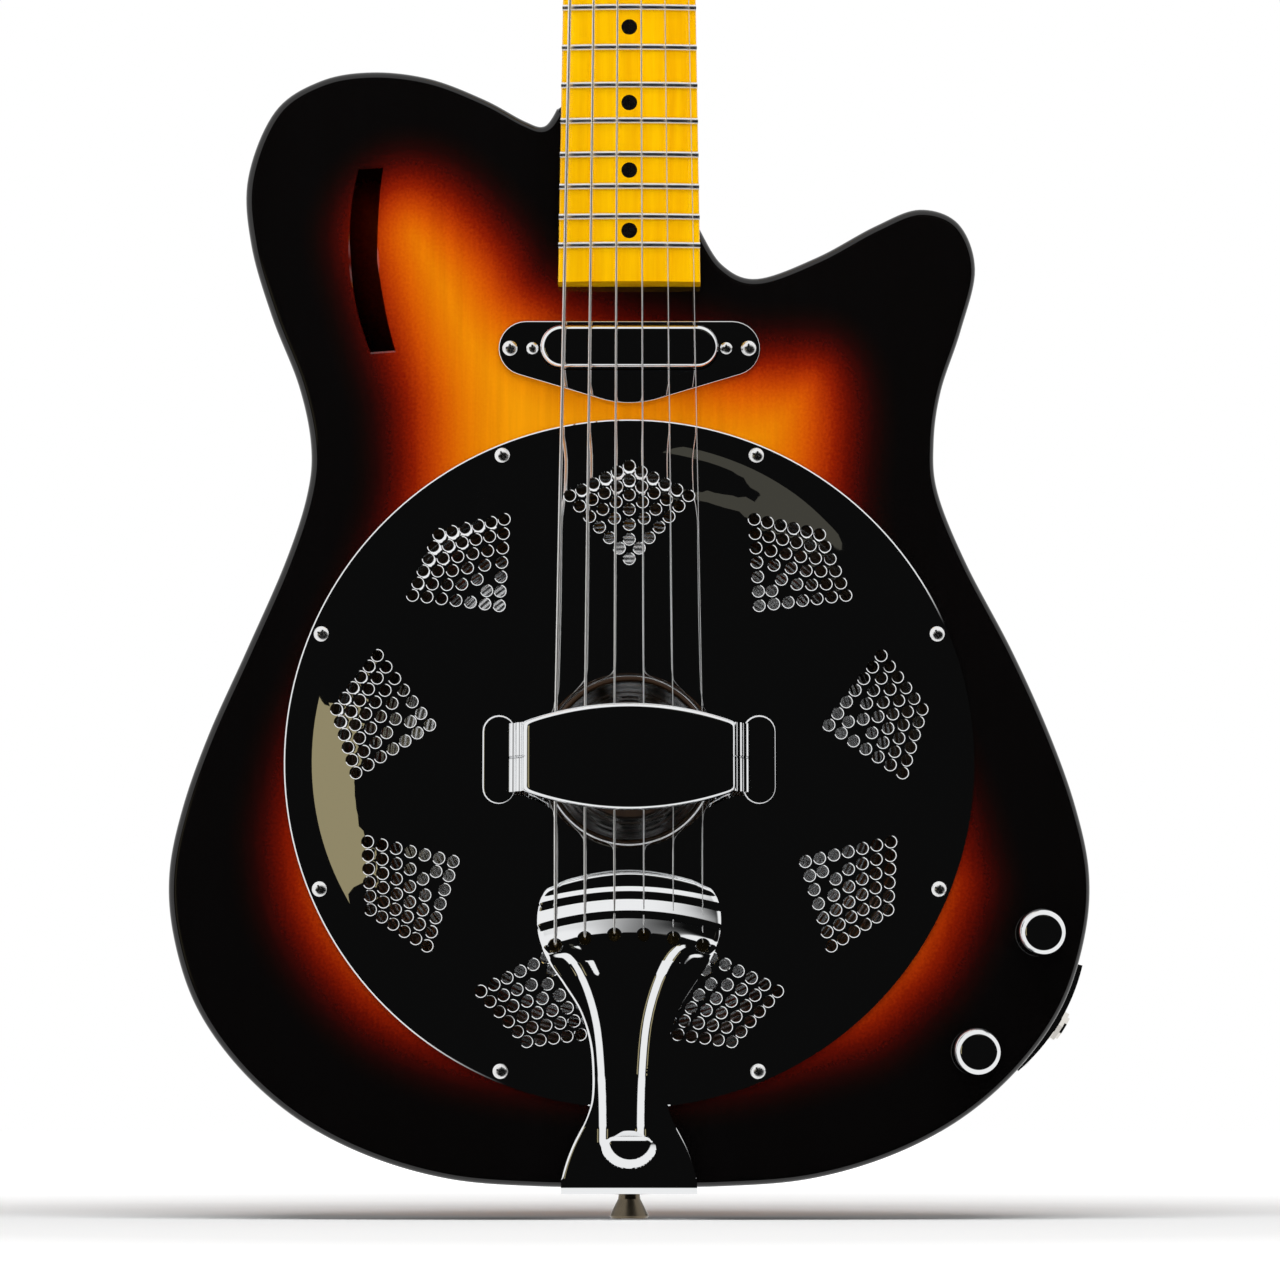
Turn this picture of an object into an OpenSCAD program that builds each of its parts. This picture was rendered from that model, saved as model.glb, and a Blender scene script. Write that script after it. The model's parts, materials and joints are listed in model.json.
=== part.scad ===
// Resonator guitar: thin hollow body with a single cutaway and a bolt-on neck.
//
// The guitar is laid out in its own plan: x to the treble side, y up the neck from the nut line, so
// that the body is at negative y, and z out of the front, with z = 0 on the body's top face.
// upright() then stands it up: the neck points up (+Z) and the front looks along -Y.

/* [Scale and neck] */
// Open string length, without the saddle's compensation
scale_length = 648; // [620:1:680]
// Extra string length at the saddle
compensation = 4; // [1:0.5:6]
// Number of frets
fret_count = 21; // [19:1:21]
// Distance that the fingerboard runs past the last fret
board_margin = 14.7; // [10:0.1:20]
// Width of the neck at the nut
nut_width = 42; // [40:0.5:46]
// Width of the neck at its body end
heel_width = 56.4; // [52:0.1:62]
// Radius of the crowned fingerboard
board_radius = 241; // [180:1:400]
// Height of the fingerboard above the body top
board_height = 12; // [9:0.5:16]
// Thickness of the neck behind the nut
shaft_depth = 21; // [19:0.5:24]
// Thickness of the neck at its body end
heel_depth = 26; // [23:0.5:29]
// Width of a fret's crown
fret_width = 2.6; // [2:0.1:3]
// Height of a fret's crown
fret_height = 1.1; // [0.8:0.1:1.5]
// Diameter of the position dots
dot_d = 6.3; // [5:0.1:7]
// Length of the nut along the neck
nut_length = 3.4; // [3:0.1:5]
// Diameter of the truss rod
rod_d = 5; // [4:0.5:6]

/* [Headstock] */
// Angle that the headstock leans back
head_angle = 12; // [8:1:16]
// Thickness of the headstock
head_thickness = 15; // [13:0.5:17]
// Length of the headstock
head_length = 182; // [170:1:200]
// Distance from the nut to the first pair of tuners
first_tuner = 46; // [42:1:60]
// Distance between neighbouring tuners
tuner_pitch = 41; // [36:1:48]

/* [Body] */
// Width of the body across its lower bout
body_width = 362; // [330:1:400]
// Length of the body
body_length = 443.7; // [420:0.1:480]
// Thickness of the whole body
body_depth = 60; // [50:1:72]
// Thickness of the top plate and of the back plate
plate_t = 4; // [3:0.5:6]
// Thickness of the rim
rim_t = 7; // [5:0.5:10]
// Width of the lining strips
lining_w = 6; // [4:0.5:8]
// Height of the lining strips
lining_h = 10; // [8:1:14]
// Gap between the neck and its pocket
pocket_gap = 0.1; // [0.05:0.05:0.3]

/* [Resonator] */
// Distance from the saddle's line to the centre of the cone
cone_offset = 7.5; // [0:0.5:12]
// Radius of the coverplate
cover_r = 136; // [112:0.5:140]
// Thickness of the coverplate's sheet
cover_t = 1.2; // [0.8:0.1:2]
// Height of the coverplate's crown above the body top
cover_rise = 8; // [6:0.5:10]
// Radius of the coverplate's round mouth
mouth_r = 31; // [29:0.5:34]
// Radius of a perforation
perforation_r = 2.25; // [1.8:0.05:2.5]
// Width of the coverplate's flat flange
flange_w = 10; // [8:0.5:12]
// Thickness of the cone's sheet
cone_t = 0.8; // [0.5:0.1:1.2]
// Height of the cone
cone_h = 25; // [20:1:28]
// Depth of the cone's rim below the body top
cone_seat = 30; // [28:1:36]
// Thickness of the sound well's wall
well_t = 6; // [4:0.5:8]
// Diameter of the biscuit
biscuit_d = 44; // [38:1:50]
// Thickness of the biscuit
biscuit_t = 7; // [6:0.5:9]
// Thickness of the saddle
saddle_t = 3; // [2.5:0.5:4]

/* [Hand rest and tailpiece] */
// Height of the hand rest above the body top
rest_height = 28; // [26:0.5:34]
// Length of the hand rest between its risers
rest_length = 86; // [80:1:92]
// Width of the hand rest at its middle
rest_width = 42; // [36:1:48]
// Thickness of the sheet of the hand rest and of the tailpiece
sheet_t = 1.5; // [1:0.1:2]
// Height of the tailpiece's string bar above the body top
bar_height = 12; // [11:0.5:14]
// Width of the tailpiece's string bar
bar_width = 69.4; // [66:0.1:76]
// Width of the tailpiece's waist
waist_width = 27.2; // [22:0.1:32]
// Width of the tailpiece's foot
foot_width = 53; // [46:0.5:60]
// Length of the flap that the tailpiece folds down over the body's end
flap_h = 34; // [30:1:40]

/* [Strings] */
// Spread of the six strings at the nut
nut_spread = 34.8; // [33:0.1:37]
// Spread of the six strings at the saddle
saddle_spread = 57.4; // [52:0.1:60]
// Height of the strings' centre line at the nut
nut_z = 14; // [13.6:0.1:15]
// Height of the strings' centre line at the saddle
saddle_z = 17.3; // [16:0.1:19]

/* [Pickup] */
// Distance from the fingerboard's end to the pickup's middle
pickup_gap = 25; // [20:0.5:40]
// Length of the pickup cover
pickup_l = 70.6; // [66:0.1:72]
// Width of the pickup cover
pickup_w = 17; // [14:0.5:20]
// Height of the pickup cover above the body top
pickup_top = 8; // [5:0.5:9]
// Depth of the pickup below the body top
pickup_depth = 14; // [12:0.5:18]
// Thickness of the pickup plate
pickup_plate_t = 1.3; // [1:0.1:2]

/* [Controls] */
// Diameter of a control knob
knob_d = 18.4; // [16:0.2:20]
// Height of a control knob above the body top
knob_h = 18; // [14:0.5:20]
// Diameter of a potentiometer's shaft
shaft_d = 6; // [5:0.1:6.4]
// Diameter of a potentiometer's case
pot_d = 16; // [14:0.5:17]
// Diameter of the output jack's bore
jack_bore_d = 6.5; // [6.4:0.05:6.7]
// Length of the jack plate
jack_plate_l = 48; // [42:1:52]
// Width of the jack plate
jack_plate_w = 26; // [22:1:30]

/* [Hidden] */
$fn = 48;
big = 500;                    // longer than anything that is cut
cut = 0.5;                    // how far a cutter runs past a face
run_gap = 0.05;               // radial gap of a shaft in its bore
touch = 0.02;                 // gap between pieces that only lie against each other

// Colours of the materials
lacquer = "#1a0d0a";
maple = "#e0a020";
bright = "#d8d8dc";
spruce = "#c89a60";

// Neck
function fret_y(n) = -scale_length * (1 - pow(2, -n / 12));
neck_end = fret_y(fret_count) - board_margin;
function neck_half(y) = (nut_width + (heel_width - nut_width) * y / neck_end) / 2;
function crown(x) = sqrt(board_radius * board_radius - x * x) - board_radius;

// Resonator centre, and the plan of the body about it
saddle_y = -(scale_length + compensation);
cone_y = saddle_y - cone_offset;
kx = body_width / 362;
ky = body_length / 443.7;
function at(p) = [p[0] * kx, cone_y + p[1] * ky];

// Half of the lower bout, from the middle of the body's end to above the widest point
lower_bout = [[0, -166.5], [35, -166.3], [70, -163.5], [102, -154.5], [130, -140], [153, -120],
    [170, -96], [179, -69], [181, -44], [176, -18], [166, 11], [151.5, 44]];
// The treble side from there to the cutaway's foot beside the neck
treble_side = [[133.5, 79], [122.5, 107], [121, 127], [124, 148], [132, 172], [138, 197],
    [131.5, 215.5], [116, 221.3], [98, 214.5], [75, 202], [51, 193.3], [37, 199], [28, 213.5]];
// The bass side from the lower bout to the notch beside the neck
bass_side = [[-136.5, 79], [-128, 106], [-126.5, 126], [-131.5, 150], [-142.5, 178], [-151, 207],
    [-152.5, 234], [-142, 261], [-124, 273.5], [-103, 277.2], [-80, 274.5], [-58, 266],
    [-42, 257.3], [-34, 255.2], [-28.8, 262.5]];
end_y = at([0, 262.5])[1];    // the body's neck end
bottom_y = at([0, -166.5])[1];
curve_steps = 5;

// One point of the curve through b and c, with a and d as its neighbours, t from 0 to 1
function span(a, b, c, d, t) = 0.5 * (2 * b + (c - a) * t + (2 * a - 5 * b + 4 * c - d) * t * t
    + (3 * b - a - 3 * c + d) * t * t * t);
// Smooth curve through the points p, with n steps between neighbours
function curve(p, n) = concat([for (i = [0:len(p) - 2], k = [0:n - 1])
    span(p[max(i - 1, 0)], p[i], p[i + 1], p[min(i + 2, len(p) - 1)], k / n)], [p[len(p) - 1]]);
// The points p moved by d towards their left-hand side
function shift_in(p, d) = [for (i = [0:len(p) - 1])
    let (v = p[min(i + 1, len(p) - 1)] - p[max(i - 1, 0)]) p[i] + d / norm(v) * [-v[1], v[0]]];
function reversed(p) = [for (i = [len(p) - 1:-1:0]) p[i]];
function mirrored(p) = [for (q = p) [-q[0], q[1]]];
// Arc of radius r about c from angle a to angle b, in n steps
function arc(c, r, a, b, n) = [for (i = [0:n]) c + r * [cos(a + (b - a) * i / n),
    sin(a + (b - a) * i / n)]];

treble_edge = curve([for (p = concat(lower_bout, treble_side)) at(p)], curve_steps);
bass_edge = curve([for (p = concat(mirrored(lower_bout), bass_side)) at(p)], curve_steps);
body_edge = concat(treble_edge, [[neck_half(end_y) + pocket_gap, end_y]], reversed(bass_edge));
// The hollow of the body stops short of the neck, where the treble and bass sides meet the block
hollow_treble = [for (i = [0:len(treble_edge) - 1 - 2 * curve_steps]) treble_edge[i]];
hollow_bass = [for (i = [0:len(bass_edge) - 1 - 3 * curve_steps]) bass_edge[i]];
function hollow(d) = concat(shift_in(hollow_treble, d), reversed(shift_in(hollow_bass, -d)));
back_z = -body_depth;

// Heel, headstock face, fret slots and neck screws
heel_z = board_height - heel_depth;
shaft_side = 4;               // height of the fingerboard's straight sides
heel_start = end_y + 6;
heel_square = 0.25;           // lower is squarer, 1 is an ellipse
blend_start = end_y + 34;
face_z = board_height - 3;    // height of the headstock's face behind the nut
tang_w = 0.56;
tang_h = 2;
slot_w = tang_w + 2 * touch;
slot_depth = tang_h - crown(heel_width / 2) + touch;
dot_depth = 1.5;
plate_holes = [38, 51];       // spacing of the neck screws across and along the neck
plate_mid = neck_end + 36.5;  // middle of the neck plate
plate_size = [51, 64];
neck_screw_r = 2;
rod_z = board_height - 9;     // axis of the truss rod
rod_nut_y = nut_length + 3;

// Strings, from the low E to the high E
string_r = [0.67, 0.53, 0.41, 0.3, 0.2, 0.15];
function string_x(i, spread) = spread * (i / 5 - 0.5);
bar_spread = saddle_spread;
bar_front = cone_y - 44.5;    // front edge of the tailpiece
ball_back = 24.2;             // from that edge to the middle ball ends
ball_sag = 4.3;               // how much farther back the outer ones lie
function ball_y(i) = bar_front - ball_back - ball_sag * pow((i - 2.5) / 2.5, 2);
ball_hole_r = 3;
ball_r = 2.3;
ball_z = bar_height - 3.4;
// Where a string leaves the nut for its post, in the headstock's own plan
post_x = [-21, -21.5, -22, 22, 21.5, 21];
function post_v(i) = first_tuner + tuner_pitch * (i < 3 ? i : 5 - i);
post_r = 3;
wrap_h = 10;                  // height of the string's turn above the headstock's face
// A point of the headstock's plan, v along it and w above its face, in the guitar's plan
function on_head(x, v, w) = [x, nut_length + v * cos(head_angle) + w * sin(head_angle),
    face_z - v * sin(head_angle) + w * cos(head_angle)];

// Pickup
magnet_x = [for (i = [0:5]) 52 * (i / 5 - 0.5)];
pickup_y = neck_end - pickup_gap;
pickup_plate_end = 52;        // half length of the plate
plate_end_r = 11;
plate_belly_r = 40;
plate_slope = 16.8;           // slope of the plate's lower edges
height_screw_x = pickup_l / 2 + 3.2;
plate_screw_x = pickup_l / 2 + 12.1;

// Controls and jack
volume_at = at([160.8, -67.6]);
tone_at = at([135.2, -113.9]);
jack_at = at([102, -60.5]);   // centre of the curve of the rim around the jack
jack_turn = -31.8;            // direction of the jack
bushing_r = shaft_d / 2 + 0.5;
pot_top = -plate_t - touch;
pot_h = 10;
pot_low = pot_top - pot_h;
jack_r = jack_bore_d / 2 + 1.6;
jack_plate_t = 1.6;
jack_reach = norm(at([168.4, -101.6]) - jack_at);
jack_z = -body_depth / 2;

// Strap buttons and tailpiece screws
button_screw_r = 1.8;
button_z = -26;               // height of the end button, inside the tailpiece's flap
heel_button = at([-45, 240]);
tail_screw_x = [-16, 16];
tail_screw_z = -9;

// Sound well, cone and coverplate
well_r = cover_r - 8;         // outer radius of the well
cone_r = well_r - well_t - 1.4;
ledge_w = 10;
drum_r = cover_r - 14.5;      // outer radius of the coverplate's perforated zone
drum_z = cover_rise - 1.6;    // height of that zone
cover_screw_r = cover_r - 4.5;
cone_top = cone_h - cone_seat;
saddle_low = cone_top + biscuit_t - 4;

// Places of the position dots: one between the frets, and a pair at the octave
dots = concat([for (n = [3, 5, 7, 9, 15, 17, 19, 21]) if (n <= fret_count) [0,
    (fret_y(n) + fret_y(n - 1)) / 2]],
    [for (s = [-1, 1]) [s * 11, (fret_y(12) + fret_y(11)) / 2]]);
// The worm lies beside the post's gear, and its button stands out from the headstock's side
bushing_out = 4.5;
gear_r = 5.2;
worm_r = 2.4;
worm_v = gear_r + worm_r + 0.2;
worm_w = -head_thickness - 5.5;
worm_shaft_r = 1.9;
housing_h = 10;
housing_screws = [-10.5, 14];

module upright() rotate([90, 0, 0]) children();
module slab(z0, z1) translate([0, 0, z0]) linear_extrude(z1 - z0) children();
// A rod of radius r from a to b
module rod(a, b, r) {
    v = b - a;
    translate(a) rotate([0, acos(v[2] / norm(v)), atan2(v[1], v[0])]) cylinder(r = r, h = norm(v));
}
// A countersunk or domed screw that points down, with its seat at z = 0
module screw(head_r, r, length, dome = true) {
    difference() {
        union() {
            if (dome) intersection() {
                translate([0, 0, -head_r * 0.9]) sphere(r = head_r * 1.35);
                cylinder(r = head_r, h = head_r);
            }
            else translate([0, 0, -1]) cylinder(r1 = r, r2 = head_r, h = 1.4);
            translate([0, 0, -length]) cylinder(r = r, h = length + 0.2);
        }
        for (a = [0, 90]) rotate([0, 0, a])
            translate([-head_r * 0.55, -0.35, dome ? head_r * 0.1 : -0.4])
                cube([head_r * 1.1, 0.7, head_r]);
    }
}
// A rounded bar of length l and width w in plan, centred
module bar_plan(l, w, r) {
    polygon(concat(arc([l / 2 - r, w / 2 - r], r, 0, 90, 8), arc([r - l / 2, w / 2 - r], r, 90, 180, 8),
        arc([r - l / 2, r - w / 2], r, 180, 270, 8), arc([l / 2 - r, r - w / 2], r, 270, 360, 8)));
}
module at_jack() translate([jack_at[0], jack_at[1], jack_z]) rotate([0, 0, jack_turn]) children();

// ---- Body ----
module neck_pocket() {
    half_end = neck_half(neck_end) + pocket_gap;
    half_front = neck_half(end_y) + pocket_gap;
    slab(heel_z, board_height) polygon([[-half_end, neck_end - pocket_gap],
        [half_end, neck_end - pocket_gap], [half_front, end_y + cut], [-half_front, end_y + cut]]);
}
// A crescent between two arcs, with its tips along the upper bass bout
module sound_hole_plan() {
    inner = arc([60, 0], 168, 180 + 13, 180 - 13, 12);
    outer = arc([-2, 0], 118, 180 - 18.7, 180 + 18.7, 14);
    translate(at([8, 208])) rotate(4) polygon(concat(inner, outer));
}
module body_top() {
    color(lacquer) upright() difference() {
        slab(-plate_t, 0) polygon(body_edge);
        neck_pocket();
        translate([0, cone_y, -plate_t - cut]) cylinder(r = well_r - well_t, h = plate_t + 1, $fn = 96);
        slab(-plate_t - cut, cut) sound_hole_plan();
        slab(-plate_t - cut, cut) translate([0, pickup_y]) bar_plan(pickup_l + 16, pickup_w + 4, 4);
        for (p = [volume_at, tone_at]) translate([p[0], p[1], -plate_t - cut])
            cylinder(r = bushing_r + 0.15, h = plate_t + 1);
        for (a = [0:7]) translate([0, cone_y, 0]) rotate([0, 0, 22.5 + 45 * a])
            translate([cover_screw_r, 0, -plate_t - cut]) cylinder(r = 1.5, h = plate_t + 1);
        for (s = [-1, 1]) translate([s * plate_screw_x, pickup_y, -plate_t - cut])
            cylinder(r = 1.5, h = plate_t + 1);
    }
}
module body_rim() {
    color(lacquer) upright() difference() {
        slab(back_z + plate_t, -plate_t) polygon(body_edge);
        slab(back_z, 0) polygon(hollow(rim_t));
        neck_pocket();
        at_jack() rotate([0, 90, 0]) cylinder(r = jack_r + 0.4, h = jack_reach + 20);
        at_jack_screws() translate([0, 0, -20]) cylinder(r = 1.4, h = 30);
        tail_holes();
        neck_screw_holes();
    }
}
module body_back() {
    color(lacquer) upright() difference() {
        slab(back_z, back_z + plate_t) polygon(body_edge);
        neck_screw_holes();
        heel_button_hole();
    }
}
module at_neck_screws() {
    for (x = [-0.5, 0.5], y = [-0.5, 0.5])
        translate([x * plate_holes[0], plate_mid + y * plate_holes[1], back_z]) children();
}
module neck_screw_holes() at_neck_screws() translate([0, 0, -10])
    cylinder(r = neck_screw_r + 0.1, h = body_depth + 4);
module heel_button_hole() {
    translate([heel_button[0], heel_button[1], back_z - cut]) cylinder(r = button_screw_r + touch, h = 27);
}
// Holes in the body's end for the strap button's screw and the tailpiece's screws
module tail_holes() {
    translate([0, bottom_y - 5, button_z]) rotate([-90, 0, 0]) cylinder(r = button_screw_r + touch, h = 40);
    for (x = tail_screw_x) translate([x, bottom_y - 5, tail_screw_z]) rotate([-90, 0, 0])
        cylinder(r = 1.25, h = 32);
}
module neck_block() {
    color(spruce) upright() difference() {
        intersection() {
            slab(back_z + plate_t, -plate_t) polygon(hollow(rim_t));
            translate([-62, neck_end - 14, back_z]) cube([116, 200, body_depth]);
        }
        neck_pocket();
        neck_screw_holes();
        heel_button_hole();
    }
}
module tail_block() {
    color(spruce) upright() difference() {
        intersection() {
            slab(back_z + plate_t, -plate_t) polygon(hollow(rim_t));
            translate([-40, bottom_y - 5, back_z]) cube([80, rim_t + 19, body_depth]);
        }
        tail_holes();
        translate([0, cone_y, back_z]) cylinder(r = cover_r + 1, h = body_depth, $fn = 96);
    }
}
module linings() {
    color(spruce) upright() difference() {
        union() {
            slab(back_z + plate_t, back_z + plate_t + lining_h) polygon(hollow(rim_t));
            slab(-plate_t - lining_h, -plate_t) polygon(hollow(rim_t));
        }
        slab(back_z, 0) polygon(hollow(rim_t + lining_w));
        translate([-62, neck_end - 14, back_z]) cube([116, 200, body_depth]);
        translate([-40, bottom_y - 5, back_z]) cube([80, rim_t + 19, body_depth]);
        for (p = [volume_at, tone_at]) translate([p[0], p[1], -40]) cylinder(r = pot_d / 2 + 2, h = 60);
    }
}
module sound_well() {
    color(spruce) upright() translate([0, cone_y, 0]) difference() {
        rotate_extrude($fn = 96) polygon([[well_r - well_t, back_z + plate_t], [well_r, back_z + plate_t],
            [well_r, -plate_t - 12], [cover_r, -plate_t - 10], [cover_r, -plate_t],
            [well_r - well_t, -plate_t],
            [well_r - well_t, -cone_seat - cone_t], [well_r - well_t - ledge_w, -cone_seat - cone_t],
            [well_r - well_t - ledge_w, -cone_seat - 5], [well_r - well_t, -cone_seat - 5]]);
        for (a = [0:7]) rotate([0, 0, 45 * a]) translate([0, 0, (back_z + plate_t - cone_seat - 5) / 2])
            rotate([0, 90, 0]) cylinder(r = 8, h = big);
        for (a = [0:7]) rotate([0, 0, 22.5 + 45 * a])
            translate([cover_screw_r, 0, -14]) cylinder(r = 1.25, h = 20);
    }
}

// ---- Resonator ----
module coverplate() {
    crown_r = mouth_r + 5;
    color(bright) upright() translate([0, cone_y, 0]) difference() {
        rotate_extrude($fn = 96) polygon(concat(
            [[cover_r, touch], [cover_r, cover_t], [cover_r - flange_w, cover_t], [drum_r, drum_z],
            [64, drum_z],
                [61, cover_rise]],
            arc([crown_r, cover_rise - 5], 5, 90, 180, 6),
            arc([crown_r, cover_rise - 5], 5 - cover_t, 180, 90, 6),
            [[61 - 0.1, cover_rise - cover_t], [64 - 0.1, drum_z - cover_t],
            [drum_r - 0.1, drum_z - cover_t],
                [cover_r - flange_w - 0.1, touch]]));
        for (a = [-70:40:250]) rotate([0, 0, a]) perforations();
        for (a = [0:7]) rotate([0, 0, 22.5 + 45 * a])
            translate([cover_screw_r, 0, -1]) cylinder(r = 1.6, h = 5);
    }
}
// A kite of holes in nested chevrons; the arms' ends lie on the line from the side corner to the tip
module perforations() {
    arms = [5, 4, 3, 2, 1, 1, 0];
    tip_r = 117 * cover_r / 136;
    inner_r = 79.6 * cover_r / 136;
    corner = [104.8, 23.5] * cover_r / 136;
    chevron_pitch = 5.93 * cover_r / 136;
    for (j = [0:6]) {
        apex = [j == 6 ? inner_r : tip_r - chevron_pitch * j, 0];
        end = corner + ([inner_r, 0] - corner) * j / 6;
        for (k = [-arms[j]:arms[j]]) {
            p = arms[j] == 0 ? apex : apex + ([end[0], sign(k) * end[1]] - apex) * abs(k) / arms[j];
            translate([p[0], p[1], -1]) cylinder(r = perforation_r, h = cover_rise + 4, $fn = 16);
        }
    }
}
module coverplate_screws() {
    color(bright) upright() for (a = [0:7]) translate([0, cone_y, cover_t]) rotate([0, 0, 22.5 + 45 * a])
        translate([cover_screw_r, 0, 0]) screw(3, 1.2, 12);
}
module resonator_cone() {
    flat_r = biscuit_d / 2 + 3;
    rim = cone_r - 6;
    color(bright) upright() translate([0, cone_y, 0]) difference() {
        rotate_extrude($fn = 96) polygon([[0, cone_top - cone_t], [0, cone_top], [flat_r, cone_top],
            [rim, -cone_seat + 1.2], [cone_r - 2, -cone_seat + 1.2], [cone_r, -cone_seat],
            [cone_r, -cone_seat - cone_t + touch], [rim, -cone_seat - cone_t + touch],
            [flat_r, cone_top - cone_t]]);
        translate([0, 0, cone_top - 5]) cylinder(r = 1.8, h = 10);
    }
}
module biscuit() {
    color(maple) upright() translate([0, cone_y, cone_top]) difference() {
        cylinder(d = biscuit_d, h = biscuit_t);
        translate([0, 0, -1]) cylinder(r = 1.5, h = biscuit_t + 2);
        translate([-big / 2, cone_offset - saddle_t / 2 - touch, biscuit_t - 4])
            cube([big, saddle_t + 2 * touch, 5]);
    }
}
module biscuit_screw() {
    color(bright) upright() translate([0, cone_y, cone_top - cone_t]) mirror([0, 0, 1]) screw(3, 1.5, 6);
}
module saddle() {
    top = saddle_spread / 2 + 1.8;
    low = sqrt(pow(biscuit_d / 2, 2) - pow(cone_offset, 2)) - 0.5;
    color("#e8d9b0") upright() difference() {
        translate([0, saddle_y + saddle_t / 2, 0]) rotate([90, 0, 0]) linear_extrude(saddle_t)
            polygon([[-low, saddle_low], [low, saddle_low], [low, cover_rise + 1.5],
                [top, cover_rise + 2.5],
                [top, saddle_z - 0.3], [-top, saddle_z - 0.3], [-top, cover_rise + 2.5],
                [-low, cover_rise + 1.5]]);
        string_grooves(3, 4, 0.1);
    }
}
// Barrel-shaped outline of the hand rest between its ends
module rest_plan(l, grow) {
    r = (l * l / 4 + pow(8.5, 2)) / 17;
    half = rest_width / 2 + grow;
    a = asin(l / 2 / r);
    translate([0, cone_y]) polygon(concat(arc([0, half - r], r, 90 + a, 90 - a, 16),
        arc([0, r - half], r, 270 + a, 270 - a, 16)));
}
module hand_rest() {
    l = rest_length / 2;
    t = sheet_t;
    top = rest_height;
    seat = cover_rise + touch;
    path = [[l + 13, seat], [l + 13, seat + t], [l + 2 * t, seat + t], [l + 2 * t, top - 9],
        [l + t, top - 8],
        [l + t, top - 4], [l - 1, top], [1 - l, top], [-l - t, top - 4], [-l - t, top - 8],
        [-l - 2 * t, top - 9],
        [-l - 2 * t, seat + t], [-l - 13, seat + t], [-l - 13, seat], [-l - t, seat], [-l - t, top - 10],
        [-l, top - 9], [-l, top - 5], [-l + 2, top - t], [l - 2, top - t], [l, top - 5], [l, top - 9],
        [l + t, top - 10], [l + t, seat]];
    color(bright) upright() intersection() {
        translate([0, cone_y + 30, 0]) rotate([90, 0, 0]) linear_extrude(60) polygon(path);
        union() {
            slab(seat + t + 1, top + 1) rest_plan(rest_length + 6, 0);
            slab(0, seat + t + 1) for (s = [-1, 1]) translate([s * (l + 6.5 + t / 2), cone_y])
                bar_plan(15 + t, 35, 6);
        }
    }
}
// Half of the tailpiece's outline below its string bar: half width, distance behind the front edge
function tail_side() = let (b = bar_width / 2, w = waist_width / 2, f = foot_width / 2,
    l = bar_front - bottom_y)
    [[b - 2.8, -7], [b, -14], [b - 0.1, -24], [b - 4, -34], [b - 10, -43], [w + 4.5, -54], [w + 0.6, -68],
    [w, -85], [w + 2.2, -l + 27], [w + 8, -l + 15], [f - 1.5, -l + 5], [f, -l - 4]];
module tail_plan() {
    side = curve(tail_side(), 4);
    front = arc([0, -68], 68, 90 - 28, 90 + 28, 12);
    translate([0, bar_front]) polygon(concat(reversed(side), front, mirrored(side)));
}
module tailpiece() {
    t = sheet_t;
    out = bottom_y - t - touch;
    low = cover_t + 1;
    drum_y = cone_y - drum_r - 1.5;
    shoulder = drum_z + 0.2;
    flap_t = t - 0.12;
    crest = [[bar_front - 1, bar_height - 2], [bar_front - 4, bar_height], [bar_front - 40, bar_height],
        [drum_y - 0.5, shoulder + t], [drum_y - 20, low + t], [bottom_y + 3, low + t],
        [out + 0.6, low + t - 1],
        [out, low + t - 2.5], [out, -flap_h]];
    under = [[out + flap_t, -flap_h], [out + flap_t, 0], [bottom_y + 2, low], [drum_y - 19.5, low],
        [drum_y, shoulder],
        [bar_front - 39.6, bar_height - t], [bar_front - 4.6, bar_height - t],
        [bar_front - 2, bar_height - 3]];
    profile = concat(crest, under);
    color(bright) upright() difference() {
        intersection() {
            rotate([90, 0, 90]) linear_extrude(bar_width + 20, center = true) polygon(profile);
            union() {
                slab(touch, bar_height + 5) tail_plan();
                translate([-foot_width / 2, out - 1, -flap_h]) cube([foot_width, 6, flap_h + 1]);
            }
        }
        for (i = [0:5]) translate([string_x(i, bar_spread), ball_y(i), bar_height - 5])
            cylinder(r = ball_hole_r, h = 8);
        translate([0, bottom_y, button_z]) rotate([90, 0, 0]) cylinder(r = 2.6, h = 20, center = true);
        for (x = tail_screw_x) translate([x, bottom_y, tail_screw_z]) rotate([90, 0, 0])
            cylinder(r = 1.6, h = 20, center = true);
    }
}

module tailpiece_screws() {
    color(bright) upright() for (x = tail_screw_x)
        translate([x, bottom_y - sheet_t - touch, tail_screw_z]) rotate([90, 0, 0]) screw(2.8, 1.2, 18);
}
module strap_buttons() {
    profile = [[button_screw_r + 0.1, 0], [5.2, 0], [5.2, 1.2], [4.2, 1.3], [4.4, 3.5], [7.8, 10],
        [7.2, 11],
        [4, 11], [button_screw_r + 0.1, 9]];
    color("#6a5a48") upright() {
        translate([0, bottom_y - sheet_t - touch, button_z]) rotate([90, 0, 0]) rotate_extrude()
            polygon(profile);
        translate([heel_button[0], heel_button[1], back_z]) mirror([0, 0, 1]) rotate_extrude()
            polygon(profile);
    }
}
module strap_button_screws() {
    color(bright) upright() {
        translate([0, bottom_y - sheet_t - touch - 10.1, button_z]) rotate([90, 0, 0])
            screw(3.4, button_screw_r, 34, false);
        translate([heel_button[0], heel_button[1], back_z - 10.1]) mirror([0, 0, 1])
            screw(3.4, button_screw_r, 34, false);
    }
}

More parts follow.
